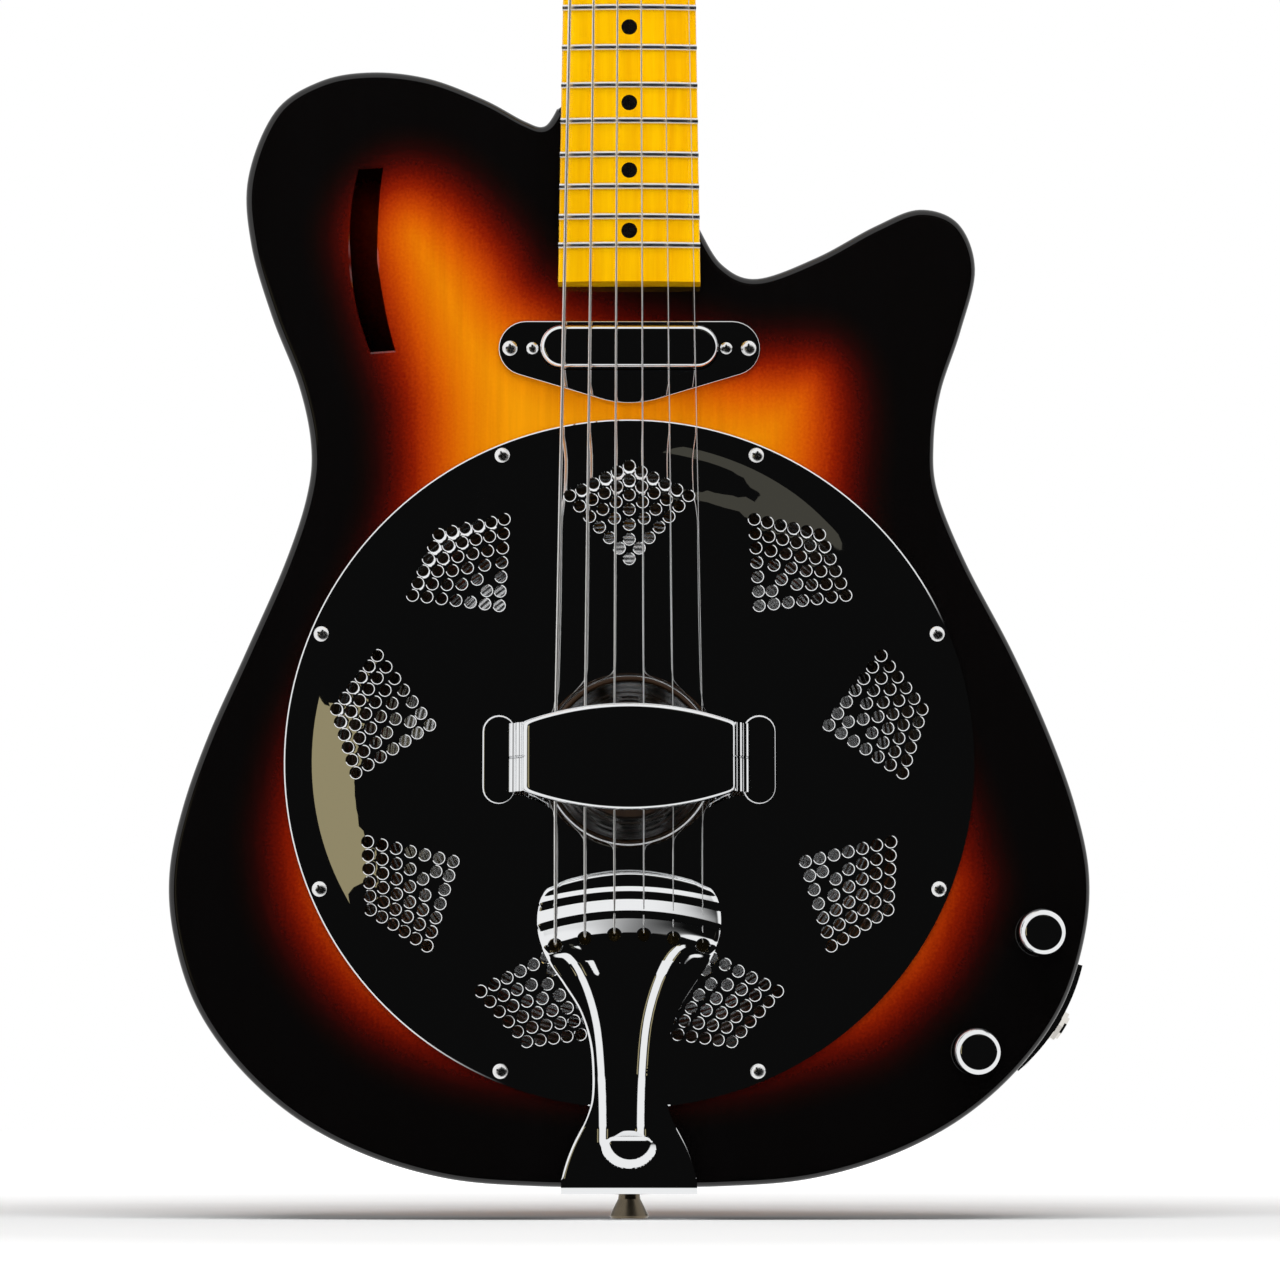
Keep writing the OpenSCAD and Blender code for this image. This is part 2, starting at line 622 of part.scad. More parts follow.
// ---- Strings ----
// Route of one string: from its ball end over the tailpiece, the saddle and the nut, and round its post
function string_route(i) =
    let (r = string_r[i], bar_x = string_x(i, bar_spread), bar_top = bar_height + r + 2 * touch,
        side = i < 3 ? 1 : -1, turn_r = (post_r + r + touch) / cos(15))
    concat([[bar_x, ball_y(i), ball_z + 1], [bar_x, ball_y(i), bar_top], [bar_x, bar_front - 4.3, bar_top],
        [string_x(i, saddle_spread), saddle_y, saddle_z], [string_x(i, nut_spread), 0, nut_z],
        [string_x(i, nut_spread), nut_length, nut_z - 0.3]],
        [for (a = [0:30:450]) on_head(post_x[i] + side * turn_r * cos(a), post_v(i) + turn_r * sin(a),
            wrap_h - 2 * r * a / 360)]);
// A tube of radius r along the points of a route, with n sides
module tube(route, r, n) {
    last = len(route) - 1;
    lean = [0.7, 0, 0.7];
    function turned(i) = let (t = route[min(i + 1, last)] - route[max(i - 1, 0)], u = cross(t, lean),
        v = cross(t, u)) [u / norm(u), v / norm(v)];
    polyhedron([for (i = [0:last]) let (f = turned(i)) for (k = [0:n - 1])
        route[i] + r * (cos(360 * k / n) * f[0] + sin(360 * k / n) * f[1])],
        concat([[for (k = [0:n - 1]) k]], [[for (k = [n - 1:-1:0]) last * n + k]],
        [for (i = [0:last - 1], k = [0:n - 1])
            [i * n + k, (i + 1) * n + k, (i + 1) * n + (k + 1) % n, i * n + (k + 1) % n]]));
}
module strings(first, last) for (i = [first:last]) tube(string_route(i), string_r[i], 8);
// Grooves that the strings lie in, in the saddle and in the nut
module string_grooves(from, to, gap) {
    for (i = [0:5]) {
        a = string_route(i)[from];
        b = string_route(i)[to];
        v = (b - a) / norm(b - a) * nut_length;
        rod(a - v, a + 2 * v, string_r[i] + gap);
    }
}
module wound_strings() color("#b0b0b0") upright() strings(0, 2);
module plain_strings() color("#d0d0d0") upright() strings(3, 5);
module ball_ends() {
    color("#b08030") upright() for (i = [0:5]) translate([string_x(i, bar_spread), ball_y(i), ball_z])
        difference() {
            cylinder(r = ball_r, h = bar_height - ball_z);
            translate([0, 0, -1]) cylinder(r = string_r[i] + touch, h = 9);
        }
}

// ---- Pickup ----
module pickup_plate_plan() {
    a = 270 - plate_slope;
    end_x = pickup_plate_end - plate_end_r;
    translate([0, pickup_y]) polygon(concat(arc([-end_x, 0], plate_end_r, 90, a, 10),
        arc([0, 18], plate_belly_r, a, 540 - a, 6), arc([end_x, 0], plate_end_r, 540 - a, 450, 10)));
}
module at_pair(x, y) for (s = [-1, 1]) translate([s * x, y, 0]) children();
module pickup_plate() {
    color(bright) upright() difference() {
        slab(0, pickup_plate_t) pickup_plate_plan();
        slab(-cut, 3) translate([0, pickup_y]) bar_plan(pickup_l + 0.6, pickup_w + 0.6, pickup_w / 2);
        at_pair(plate_screw_x, pickup_y) translate([0, 0, -1]) cylinder(r = 1.6, h = 4);
        at_pair(height_screw_x, pickup_y) translate([0, 0, -1]) cylinder(r = 1.5, h = 4);
    }
}
module pickup_plate_screws() {
    color(bright) upright() at_pair(plate_screw_x, pickup_y) translate([0, 0, pickup_plate_t])
        screw(3, 1.2, 12);
}
module pickup_height_screws() {
    color(bright) upright() at_pair(height_screw_x, pickup_y) translate([0, 0, pickup_plate_t])
        screw(2.4, 1.2, 20);
}
module pickup_tubes() {
    color("#202020") upright() at_pair(height_screw_x, pickup_y)
        translate([0, 0, -pickup_depth + 2 + touch]) difference() {
            cylinder(r = 2.5, h = pickup_depth - 2 - 2 * touch);
            translate([0, 0, -1]) cylinder(r = 1.4, h = pickup_depth + 2);
        }
}
module pickup_cover() {
    wall = 0.7;
    color(bright) upright() difference() {
        union() {
            slab(-pickup_depth, pickup_top) translate([0, pickup_y])
                bar_plan(pickup_l, pickup_w, pickup_w / 2);
            slab(-pickup_depth, 2 - pickup_depth) translate([0, pickup_y])
                bar_plan(2 * height_screw_x + 7, pickup_w - 4, 4);
        }
        slab(-pickup_depth - cut, pickup_top - wall) translate([0, pickup_y])
            bar_plan(pickup_l - 2 * wall, pickup_w - 2 * wall, pickup_w / 2 - wall);
        at_pair(height_screw_x, pickup_y) translate([0, 0, -pickup_depth - 1]) cylinder(r = 1.25, h = 4);
    }
}
module pickup_coil() {
    wide = pickup_w - 2.4;
    color("#301810") upright() difference() {
        union() {
            slab(-pickup_depth + 1, 1.5 - pickup_depth + 1) translate([0, pickup_y])
                bar_plan(pickup_l - 2.4, wide, wide / 2);
            slab(-pickup_depth + 1, pickup_top - 1.2) translate([0, pickup_y])
                bar_plan(pickup_l - 5, wide - 3, wide / 2 - 1.5);
            slab(pickup_top - 2.7, pickup_top - 1.2) translate([0, pickup_y])
                bar_plan(pickup_l - 2.4, wide, wide / 2);
        }
        for (x = magnet_x) translate([x, pickup_y, -pickup_depth]) cylinder(r = 2.45, h = 40);
    }
}
module pickup_magnets() {
    color("#808080") upright() for (x = magnet_x) translate([x, pickup_y, 1 - pickup_depth])
        cylinder(r = 2.4, h = pickup_depth + pickup_top - 2.2);
}

// ---- Controls ----
module knob(p) {
    r = knob_d / 2;
    side = knob_h * 0.55;
    color(bright) upright() translate([p[0], p[1], 0]) rotate_extrude() polygon(concat(
        [[0, pot_low + 3], [shaft_d / 2, pot_low + 3], [shaft_d / 2, 6], [r - 1.6, 6], [r - 1.6, 1.2],
        [r, 1.2]],
        [for (a = [0:10:80]) [r * cos(a), side + (knob_h - side) * sin(a)]], [[0, knob_h]]));
}
module volume_knob() knob(volume_at);
module tone_knob() knob(tone_at);
module potentiometers() {
    color("#909090") upright() for (p = [volume_at, tone_at]) translate([p[0], p[1], 0]) difference() {
        union() {
            translate([0, 0, pot_low]) cylinder(d = pot_d, h = pot_h);
            translate([0, 0, pot_top - 1]) cylinder(r = bushing_r, h = plate_t + 4);
            for (x = [-4.5, 0, 4.5]) translate([x - 1, pot_d / 2 - 1, pot_top - 3]) cube([2, 5, 1]);
        }
        translate([0, 0, pot_low + 2.5]) cylinder(r = shaft_d / 2 + run_gap, h = 30);
    }
}
module nut_and_washer(r) {
    difference() {
        union() {
            cylinder(r = r + 2, h = 0.6);
            translate([0, 0, 0.6]) cylinder(r = r + 2, h = 1.8, $fn = 6);
        }
        translate([0, 0, -1]) cylinder(r = r + touch, h = 5);
    }
}
module control_nuts() {
    color(bright) upright() {
        for (p = [volume_at, tone_at]) translate([p[0], p[1], 0]) nut_and_washer(bushing_r);
        at_jack() rotate([0, 90, 0]) translate([0, 0, jack_reach + jack_plate_t]) nut_and_washer(jack_r);
    }
}
module jack_plate() {
    a = asin(jack_plate_l / 2 / jack_reach);
    color(bright) upright() difference() {
        at_jack() translate([0, 0, -jack_plate_w / 2]) rotate([0, 0, -a])
            rotate_extrude(angle = 2 * a, $fn = 96)
            translate([jack_reach - 4, 0]) square([4 + jack_plate_t, jack_plate_w]);
        slab(-body_depth - 1, 1) polygon(body_edge);
        at_jack() rotate([0, 90, 0]) cylinder(r = jack_r + 0.1, h = jack_reach + 20);
        at_jack_screws() translate([0, 0, -20]) cylinder(r = 1.6, h = 30);
    }
}
module at_jack_screws() {
    a = asin((jack_plate_l / 2 - 5) / jack_reach);
    for (s = [-1, 1]) at_jack() rotate([0, 0, s * a]) rotate([0, 90, 0])
        translate([0, 0, jack_reach + jack_plate_t]) children();
}
module jack_plate_screws() color(bright) upright() at_jack_screws() screw(2.6, 1.2, 12);
module output_jack() {
    back = -rim_t - 5;
    color("#b8b8b8") upright() at_jack() translate([jack_reach, 0, 0]) rotate([0, 90, 0]) {
        rotate_extrude() polygon([[jack_bore_d / 2, back], [jack_r + 3, back], [jack_r + 3, back + 2],
            [jack_r, back + 2], [jack_r, jack_plate_t + 3.5], [jack_bore_d / 2, jack_plate_t + 3.5]]);
        translate([-jack_r - 2, -3, back - 18]) cube([1, 6, 18]);
        translate([-jack_r - 2, -3, back - 18]) cube([jack_r + 1, 6, 1]);
    }
}
module wiring_harness() {
    ring = cover_r + 10;
    low = pot_low - 2;
    far = at_jack_tail();
    lead = concat([[25, pickup_y, -pickup_depth - 4], [60 * kx, pickup_y - 22, jack_z]],
        [for (a = [48:-19:-9]) [ring * cos(a), cone_y + ring * sin(a), jack_z]],
        [[volume_at[0] - 4, volume_at[1] + 2, low]]);
    link = [[volume_at[0], volume_at[1] - 3, low], [tone_at[0] + 4, tone_at[1] + 8, low - 4],
        [tone_at[0], tone_at[1] + 3, low]];
    tail = [[tone_at[0] - 4, tone_at[1], low], [far[0] - 8, far[1] - 4, (low + jack_z) / 2], far];
    color("#202020") upright() {
        for (route = [lead, link, tail]) tube(route, 1.1, 8);
        rod([tone_at[0] - 5, tone_at[1] + 3, low - 1.5], [tone_at[0] + 6, tone_at[1] + 3, low - 1.5], 3);
    }
}
// End of the jack's back tab, where its wire is soldered
function at_jack_tail() = let (d = jack_reach - rim_t - 25)
    [jack_at[0] + d * cos(jack_turn), jack_at[1] + d * sin(jack_turn), jack_z];

// ---- Neck ----
// Cross-section of the neck, in x and height: crowned top, straight edges and a back that runs from
// a C shape (square = 1) to a square heel (square = sqrt(2))
function swell(t, power) = sign(t) * pow(abs(t), power);
function neck_section(y, depth, power) = let (h = neck_half(y)) concat(
    [for (i = [0:8]) let (x = h - h * i / 4) [x, y, board_height + crown(x)]],
    [for (a = [180:15:360]) [h * swell(cos(a), power), y,
        board_height - shaft_side - (depth - shaft_side) * swell(-sin(a), power)]]);
// A solid through the rings of points
module loft(rings) {
    n = len(rings[0]);
    last = len(rings) - 1;
    polyhedron([for (r = rings) each r], concat([[for (k = [0:n - 1]) k]],
        [[for (k = [n - 1:-1:0]) last * n + k]], [for (i = [0:last - 1], k = [0:n - 1])
            [i * n + k, (i + 1) * n + k, (i + 1) * n + (k + 1) % n, i * n + (k + 1) % n]]));
}
module on_headstock() translate([0, nut_length, face_z]) rotate([-head_angle, 0, 0]) children();
head_side = [[21.2, -2], [22.5, 9], [28, 24], [34, 40], [36.5, 64], [35.5, 100], [33, 140], [29, 164],
    [18, 177], [0, 182]];
module headstock_plan() {
    k = head_length / 182;
    side = curve([for (p = head_side) [p[0], p[1] * k]], 4);
    polygon(concat(side, reversed(mirrored(side))));
}
module neck() {
    color(maple) upright() difference() {
        union() {
            loft([neck_section(0, shaft_depth, 1), neck_section(blend_start, shaft_depth + 2, 1),
                neck_section((blend_start + heel_start) / 2, (shaft_depth + 3 + heel_depth) / 2, 0.7),
                neck_section(heel_start, heel_depth, heel_square),
                    neck_section(neck_end, heel_depth, heel_square)]);
            translate([-nut_width / 2, -6, board_height - shaft_depth + 1])
                cube([nut_width, 16, shaft_depth - 5]);
            on_headstock() translate([0, 0, -head_thickness]) linear_extrude(head_thickness)
                headstock_plan();
        }
        for (n = [1:fret_count]) translate([-heel_width, fret_y(n) - slot_w / 2, board_height - slot_depth])
            cube([2 * heel_width, slot_w, 2 * slot_depth]);
        for (p = dots) translate([p[0], p[1], board_height + crown(p[0]) - dot_depth])
            cylinder(d = dot_d, h = 4);
        translate([0, neck_end + 10, rod_z]) rotate([-90, 0, 0])
            cylinder(r = rod_d / 2 + touch, h = -neck_end + 20);
        translate([0, rod_nut_y - 1, rod_z]) rotate([-90, 0, 0]) cylinder(r = 5, h = 30);
        translate([-nut_width, -touch, face_z]) cube([2 * nut_width, nut_length + touch, 20]);
        for (i = [0:5]) at_tuner(i) {
            translate([0, 0, -head_thickness - 1])
                cylinder(r = bushing_out + touch, h = head_thickness + 2);
            for (v = housing_screws) translate([0, v, -head_thickness - 1])
                cylinder(r = 1.05 + touch, h = 10);
        }
        at_neck_screws() cylinder(r = neck_screw_r + touch, h = body_depth + 1);
    }
}
module frets() {
    color(bright) upright() for (n = [1:fret_count]) {
        a = asin(neck_half(fret_y(n)) / board_radius);
        translate([0, fret_y(n), board_height - board_radius]) rotate([-90, 0, 0]) rotate([0, 0, -90 - a])
            rotate_extrude(angle = 2 * a, $fn = 96) translate([board_radius, 0]) polygon(concat(
                [[-tang_h, -tang_w / 2], [touch, -tang_w / 2]],
                [for (t = [0:15:180]) [touch + fret_height * sin(t), -fret_width / 2 * cos(t)]],
                [[touch, tang_w / 2], [-tang_h, tang_w / 2]]));
    }
}
module position_dots() {
    color("#101010") upright() for (p = dots)
        translate([p[0], p[1], board_height + crown(p[0]) - dot_depth]) cylinder(d = dot_d, h = dot_depth);
}
module nut() {
    color("#f0ead8") upright() difference() {
        intersection() {
            translate([-nut_width / 2, 0, face_z]) cube([nut_width, nut_length, 6]);
            translate([0, nut_length + 1, nut_z + 0.4 - board_radius]) rotate([90, 0, 0])
                cylinder(r = board_radius, h = nut_length + 2, $fn = 192);
        }
        string_grooves(4, 5, 0.05);
    }
}
module truss_rod() {
    color("#808080") upright() translate([0, neck_end + 10 + touch, rod_z]) rotate([-90, 0, 0])
        cylinder(d = rod_d, h = rod_nut_y + 9 - neck_end - 10);
}
module truss_rod_nut() {
    color("#b08030") upright() translate([0, rod_nut_y, rod_z]) rotate([-90, 0, 0]) difference() {
        cylinder(r = 4.4, h = 12, $fn = 6);
        translate([0, 0, -1]) cylinder(r = rod_d / 2 + run_gap, h = 10.5);
        translate([0, 0, 9]) cylinder(r = 2.3, h = 4, $fn = 6);
    }
}
module neck_plate() {
    color(bright) upright() difference() {
        slab(back_z - sheet_t, back_z) translate([0, plate_mid]) bar_plan(plate_size[0], plate_size[1], 5);
        at_neck_screws() translate([0, 0, -5]) cylinder(r = neck_screw_r + 0.2, h = 10);
    }
}
module neck_screws() {
    color(bright) upright() at_neck_screws() translate([0, 0, -sheet_t]) mirror([0, 0, 1])
        screw(4, neck_screw_r, body_depth + 1);
}

// ---- Tuners ----
module at_tuner(i) on_headstock() translate([post_x[i], post_v(i), 0]) rotate([0, 0, i < 3 ? 180 : 0])
    children();
module tuner_housings() {
    color(bright) upright() for (i = [0:5]) at_tuner(i) translate([0, 0, -head_thickness]) difference() {
        union() {
            slab(-1.2, 0) translate([0, 1.75]) bar_plan(17, 31, 4);
            slab(-housing_h, -1) translate([0, 2.25]) bar_plan(17, 19.5, 3);
        }
        translate([0, 0, 1 - housing_h]) cylinder(r = gear_r + 0.5, h = housing_h - 2);
        translate([0, 0, -3]) cylinder(r = post_r + 0.3, h = 5);
        translate([-6, worm_v, worm_w + head_thickness]) rotate([0, 90, 0])
            cylinder(r = worm_r + 0.3, h = 12);
        translate([0, worm_v, worm_w + head_thickness]) rotate([0, 90, 0])
            cylinder(r = worm_shaft_r + run_gap, h = 12);
        for (v = housing_screws) translate([0, v, -3]) cylinder(r = 1.2, h = 5);
    }
}
module tuner_screws() {
    color(bright) upright() for (i = [0:5], v = housing_screws) at_tuner(i)
        translate([0, v, -head_thickness - 1.2]) mirror([0, 0, 1]) screw(1.9, 1.05, 9);
}
module tuner_bushings() {
    color(bright) upright() for (i = [0:5]) at_tuner(i) difference() {
        union() {
            translate([0, 0, touch - head_thickness]) cylinder(r = bushing_out, h = head_thickness + 1);
            cylinder(r = 7, h = 1);
            translate([0, 0, 1]) cylinder(r = 6.2, h = 3, $fn = 6);
        }
        translate([0, 0, -head_thickness - 1]) cylinder(r = post_r + run_gap, h = head_thickness + 8);
    }
}
module tuner_post(i) {
    gear_h = 4;
    top = wrap_h + 5;
    color(bright) upright() at_tuner(i) difference() {
        union() {
            translate([0, 0, 1.3 - head_thickness - housing_h])
                cylinder(r = post_r, h = top + head_thickness + housing_h - 1.3);
            translate([0, 0, worm_w - gear_h / 2]) cylinder(r = gear_r, h = gear_h);
        }
        translate([0, 0, wrap_h + 2.2]) rotate([90, 0, 0]) cylinder(r = 0.9, h = 10, center = true);
    }
}
module tuner_knob(i) {
    half_l = 9.5;
    half_w = 8;
    color(bright) upright() at_tuner(i) translate([0, worm_v, worm_w]) {
        rotate([0, 90, 0]) {
            translate([0, 0, -5.7]) cylinder(r = worm_r, h = 11.4);
            cylinder(r = worm_shaft_r, h = 20);
            translate([0, 0, 17]) cylinder(r1 = 3.4, r2 = 2.6, h = 3);
        }
        translate([19 + half_l, 0, 0]) linear_extrude(6, center = true)
            polygon([for (a = [0:15:345]) [half_l * sign(cos(a)) * pow(abs(cos(a)), 0.7),
                half_w * sign(sin(a)) * pow(abs(sin(a)), 0.7)]]);
    }
}

body_top();
body_rim();
body_back();
neck_block();
tail_block();
sound_well();
linings();
output_jack();
jack_plate();
jack_plate_screws();
strap_buttons();
strap_button_screws();
coverplate();
coverplate_screws();
hand_rest();
resonator_cone();
biscuit();
saddle();
biscuit_screw();
tailpiece();
tailpiece_screws();
wound_strings();
plain_strings();
ball_ends();
pickup_plate();
pickup_cover();
pickup_coil();
pickup_magnets();
pickup_plate_screws();
pickup_height_screws();
pickup_tubes();
volume_knob();
tone_knob();
potentiometers();
control_nuts();
wiring_harness();
neck();
frets();
position_dots();
nut();
truss_rod();
truss_rod_nut();
neck_plate();
neck_screws();
tuner_housings();
tuner_bushings();
tuner_screws();
for (i = [1:6]) {
    tuner_knob(i - 1);
    tuner_post(i - 1);
}
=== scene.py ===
"""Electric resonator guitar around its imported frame: lacquered sunburst body, maple neck, chrome hardware.

Lengths in the shape functions are millimetres in the guitar's own plan: x to the treble side, y up the
neck from the nut, z out of the front from the body's top. place() turns them into the row frame in metres.
"""
import json
import math

import bpy
import bmesh
import numpy as np
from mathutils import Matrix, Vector, geometry


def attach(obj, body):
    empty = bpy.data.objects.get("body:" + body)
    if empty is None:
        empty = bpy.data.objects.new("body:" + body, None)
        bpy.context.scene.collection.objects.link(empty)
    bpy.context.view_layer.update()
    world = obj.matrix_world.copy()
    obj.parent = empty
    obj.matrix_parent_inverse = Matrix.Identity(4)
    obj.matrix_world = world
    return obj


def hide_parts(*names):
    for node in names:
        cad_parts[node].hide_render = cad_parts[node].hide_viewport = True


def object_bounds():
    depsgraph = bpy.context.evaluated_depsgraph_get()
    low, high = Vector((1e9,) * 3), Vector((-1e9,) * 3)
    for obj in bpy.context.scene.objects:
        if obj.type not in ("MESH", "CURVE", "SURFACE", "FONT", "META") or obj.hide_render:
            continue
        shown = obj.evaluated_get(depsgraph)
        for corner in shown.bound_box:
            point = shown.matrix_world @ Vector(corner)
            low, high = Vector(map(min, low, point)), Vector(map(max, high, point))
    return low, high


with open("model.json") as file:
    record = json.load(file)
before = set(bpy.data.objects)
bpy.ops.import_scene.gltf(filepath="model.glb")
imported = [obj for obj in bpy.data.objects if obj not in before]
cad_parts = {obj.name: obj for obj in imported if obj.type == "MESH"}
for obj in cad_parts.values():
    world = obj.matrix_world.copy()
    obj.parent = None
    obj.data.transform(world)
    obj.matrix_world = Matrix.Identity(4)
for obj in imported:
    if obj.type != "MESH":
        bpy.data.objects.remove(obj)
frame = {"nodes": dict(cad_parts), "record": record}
cad_low, cad_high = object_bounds()
scene = bpy.context.scene

# Sizes of the guitar, in millimetres
NECK_END = -470.0
CONE_Y = -659.5
BODY_DEPTH = 60.0
PLATE = 4.0
EDGE_ROUND = 3.6
BOARD_TOP = 12.0
BOARD_RADIUS = 241.0
NUT_WIDTH = 42.0
HEEL_WIDTH = 56.4
NECK_GAP = 0.1
PICKUP_Y = -495.0
COVER_R = 136.0
HOLE_R = 2.25
BEVEL = 0.32
MOUTH_R = 31.0
HEAD_ANGLE = math.radians(12)
HEAD_START = 3.4
HEAD_FACE = 9.0
HEAD_THICK = 15.0
BAR_FRONT = -704.0
HEEL_DEPTH = 26.0
NUT_DEPTH = 23.0
RIM_THICK = 7.0
COVER_SHEET = 1.2
COVER_RING_R = 122.0
COVER_CROWN_R = 60.0
POST_R = 3.0
WELD = 5e-7  # metres: points nearer than this are one


# ---- Points and meshes ----
def place(p):
    """Points of the guitar's plan, (x, y, z) in mm, as row frame points (x, -z, y) in metres."""
    p = np.asarray(p, float)
    return np.stack([p[..., 0], -p[..., 2], p[..., 1]], -1) / 1000


def through(q, spans, steps):
    """Catmull-Rom points over the spans of q. Between b and c, with a before them and d after, they are
    0.5 (2b + (c - a) t + (2a - 5b + 4c - d) t^2 + (3b - a - 3c + d) t^3)."""
    t = (np.arange(steps) / steps)[None, :, None]
    a, b, c, d = (q[k:spans + k][:, None, :] for k in range(4))
    s = 0.5 * (2 * b + (c - a) * t + (2 * a - 5 * b + 4 * c - d) * t ** 2
               + (3 * b - a - 3 * c + d) * t ** 3)
    return s.reshape(-1, q.shape[1])


def curve(points, steps):
    """A smooth curve through the points, with so many steps between neighbours."""
    p = np.asarray(points, float)
    return np.vstack([through(np.vstack([p[:1], p, p[-1:]]), len(p) - 1, steps), p[-1:]])


def closed_curve(points, steps):
    """The same curve through a closed loop of points."""
    p = np.asarray(points, float)
    return through(np.vstack([p[-1:], p, p[:2]]), len(p), steps)


def arc(centre, radius, start, stop, steps):
    """Points centre + radius (cos a, sin a) for a from start to stop, in degrees."""
    a = np.radians(np.linspace(start, stop, steps + 1))
    return np.stack([centre[0] + radius * np.cos(a), centre[1] + radius * np.sin(a)], -1)


def smooth(x, low, high):
    """0 below low, 1 above high, 3t^2 - 2t^3 between."""
    t = np.clip((np.asarray(x, float) - low) / (high - low), 0, 1)
    return t * t * (3 - 2 * t)


def inward(loop):
    """Unit normals of a counter-clockwise closed loop, turned a quarter left of its local direction."""
    d = np.roll(loop, -1, 0) - np.roll(loop, 1, 0)
    n = np.stack([-d[:, 1], d[:, 0]], -1)
    return n / np.linalg.norm(n, axis=1, keepdims=True)


def grid_faces(rows, columns, wrap_rows=False, wrap_columns=False):
    """Quads of a grid of points numbered row by row, with either direction closed on itself."""
    i = np.arange(rows if wrap_rows else rows - 1)[:, None]
    j = np.arange(columns if wrap_columns else columns - 1)[None, :]
    i2, j2 = (i + 1) % rows, (j + 1) % columns
    quads = np.stack([i * columns + j, i * columns + j2, i2 * columns + j2, i2 * columns + j], -1)
    return quads.reshape(-1, 4)


class Shape:
    """Collects points and faces of one piece."""

    def __init__(self):
        self.points, self.faces, self.count = [], [], 0

    def add(self, points, *faces):
        points = np.asarray(points, float).reshape(-1, 3)
        self.points.append(points)
        for f in faces:
            self.faces += [tuple(int(k) + self.count for k in q) for q in f]
        self.count += len(points)
        return self

    def grid(self, p, wrap_rows=False, wrap_columns=False):
        return self.add(p, grid_faces(p.shape[0], p.shape[1], wrap_rows, wrap_columns))

    def build(self, name, sharp):
        """One mesh: doubles merged, normals outwards, smooth but at edges sharper than sharp degrees."""
        mesh = bpy.data.meshes.new(name)
        mesh.from_pydata(place(np.vstack(self.points)).tolist(), [], self.faces)
        bm = bmesh.new()
        bm.from_mesh(mesh)
        bmesh.ops.remove_doubles(bm, verts=bm.verts, dist=WELD)
        bmesh.ops.recalc_face_normals(bm, faces=bm.faces)
        bm.to_mesh(mesh)
        bm.free()
        mesh.shade_smooth()
        mesh.set_sharp_from_angle(angle=math.radians(sharp))
        piece = bpy.data.objects.new(name, mesh)
        scene.collection.objects.link(piece)
        return piece


def finish_piece(piece, body, nodes, material):
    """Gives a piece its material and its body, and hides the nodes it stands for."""
    piece.data.materials.append(material)
    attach(piece, body)
    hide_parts(*nodes)


def inside(points, loop):
    """True where a point lies in the closed loop: an odd number of edges cross the ray to its right."""
    x, y = points[:, 0][:, None], points[:, 1][:, None]
    a, b = loop, np.roll(loop, -1, 0)
    spans = (a[:, 1] > y) != (b[:, 1] > y)
    rise = np.where(b[:, 1] == a[:, 1], 1e-9, b[:, 1] - a[:, 1])
    return (spans & (x < a[:, 0] + (b[:, 0] - a[:, 0]) * (y - a[:, 1]) / rise)).sum(1) % 2 == 1


def distance(points, loop):
    """Distance of each point from a closed loop's line, positive inside it."""
    a, b = loop[None], np.roll(loop, -1, 0)[None]
    d = b - a
    t = np.clip(((points[:, None] - a) * d).sum(-1) / np.maximum((d * d).sum(-1), 1e-9), 0, 1)
    near = np.linalg.norm(points[:, None] - a - t[..., None] * d, axis=-1).min(1)
    return np.where(inside(points, loop), near, -near)


def fill(loops, loose=None):
    """Delaunay triangles between the first loop and the others, which are holes, with loose points between
    them. Returns the points and the triangles."""
    points, edges = [], []
    for loop in loops:
        n, k = len(points), len(loop)
        points += [Vector(p) for p in loop.tolist()]
        edges += [(n + i, n + (i + 1) % k) for i in range(k)]
    if loose is not None and len(loose):
        points += [Vector(p) for p in loose.tolist()]
    made = geometry.delaunay_2d_cdt(points, edges, [], 0, 1e-5)
    p = np.array([tuple(v) for v in made[0]])
    t = np.array([f for f in made[2] if len(f) == 3])
    middle = p[t].mean(1)
    keep = inside(middle, loops[0])
    t, middle = t[keep], middle[keep]
    if len(loops) > 1:
        centres = np.array([h.mean(0) for h in loops[1:]])
        reach = np.array([np.linalg.norm(h - h.mean(0), axis=1).max() for h in loops[1:]])
        drop = np.zeros(len(t), bool)
        for hole, centre, r in zip(loops[1:], centres, reach):
            near = np.linalg.norm(middle - centre, axis=1) < r
            drop[near] |= inside(middle[near], hole)
        t = t[~drop]
    turned = np.cross(p[t[:, 1]] - p[t[:, 0]], p[t[:, 2]] - p[t[:, 0]]) < 0
    t[turned] = t[turned][:, ::-1]
    return p, t


def rim_edges(t):
    """Directed edges that belong to one triangle only."""
    e = np.vstack([t[:, [0, 1]], t[:, [1, 2]], t[:, [2, 0]]])
    key = e[:, 0].astype(np.int64) * 10 ** 7 + e[:, 1]
    back = e[:, 1].astype(np.int64) * 10 ** 7 + e[:, 0]
    return e[~np.isin(key, back)]


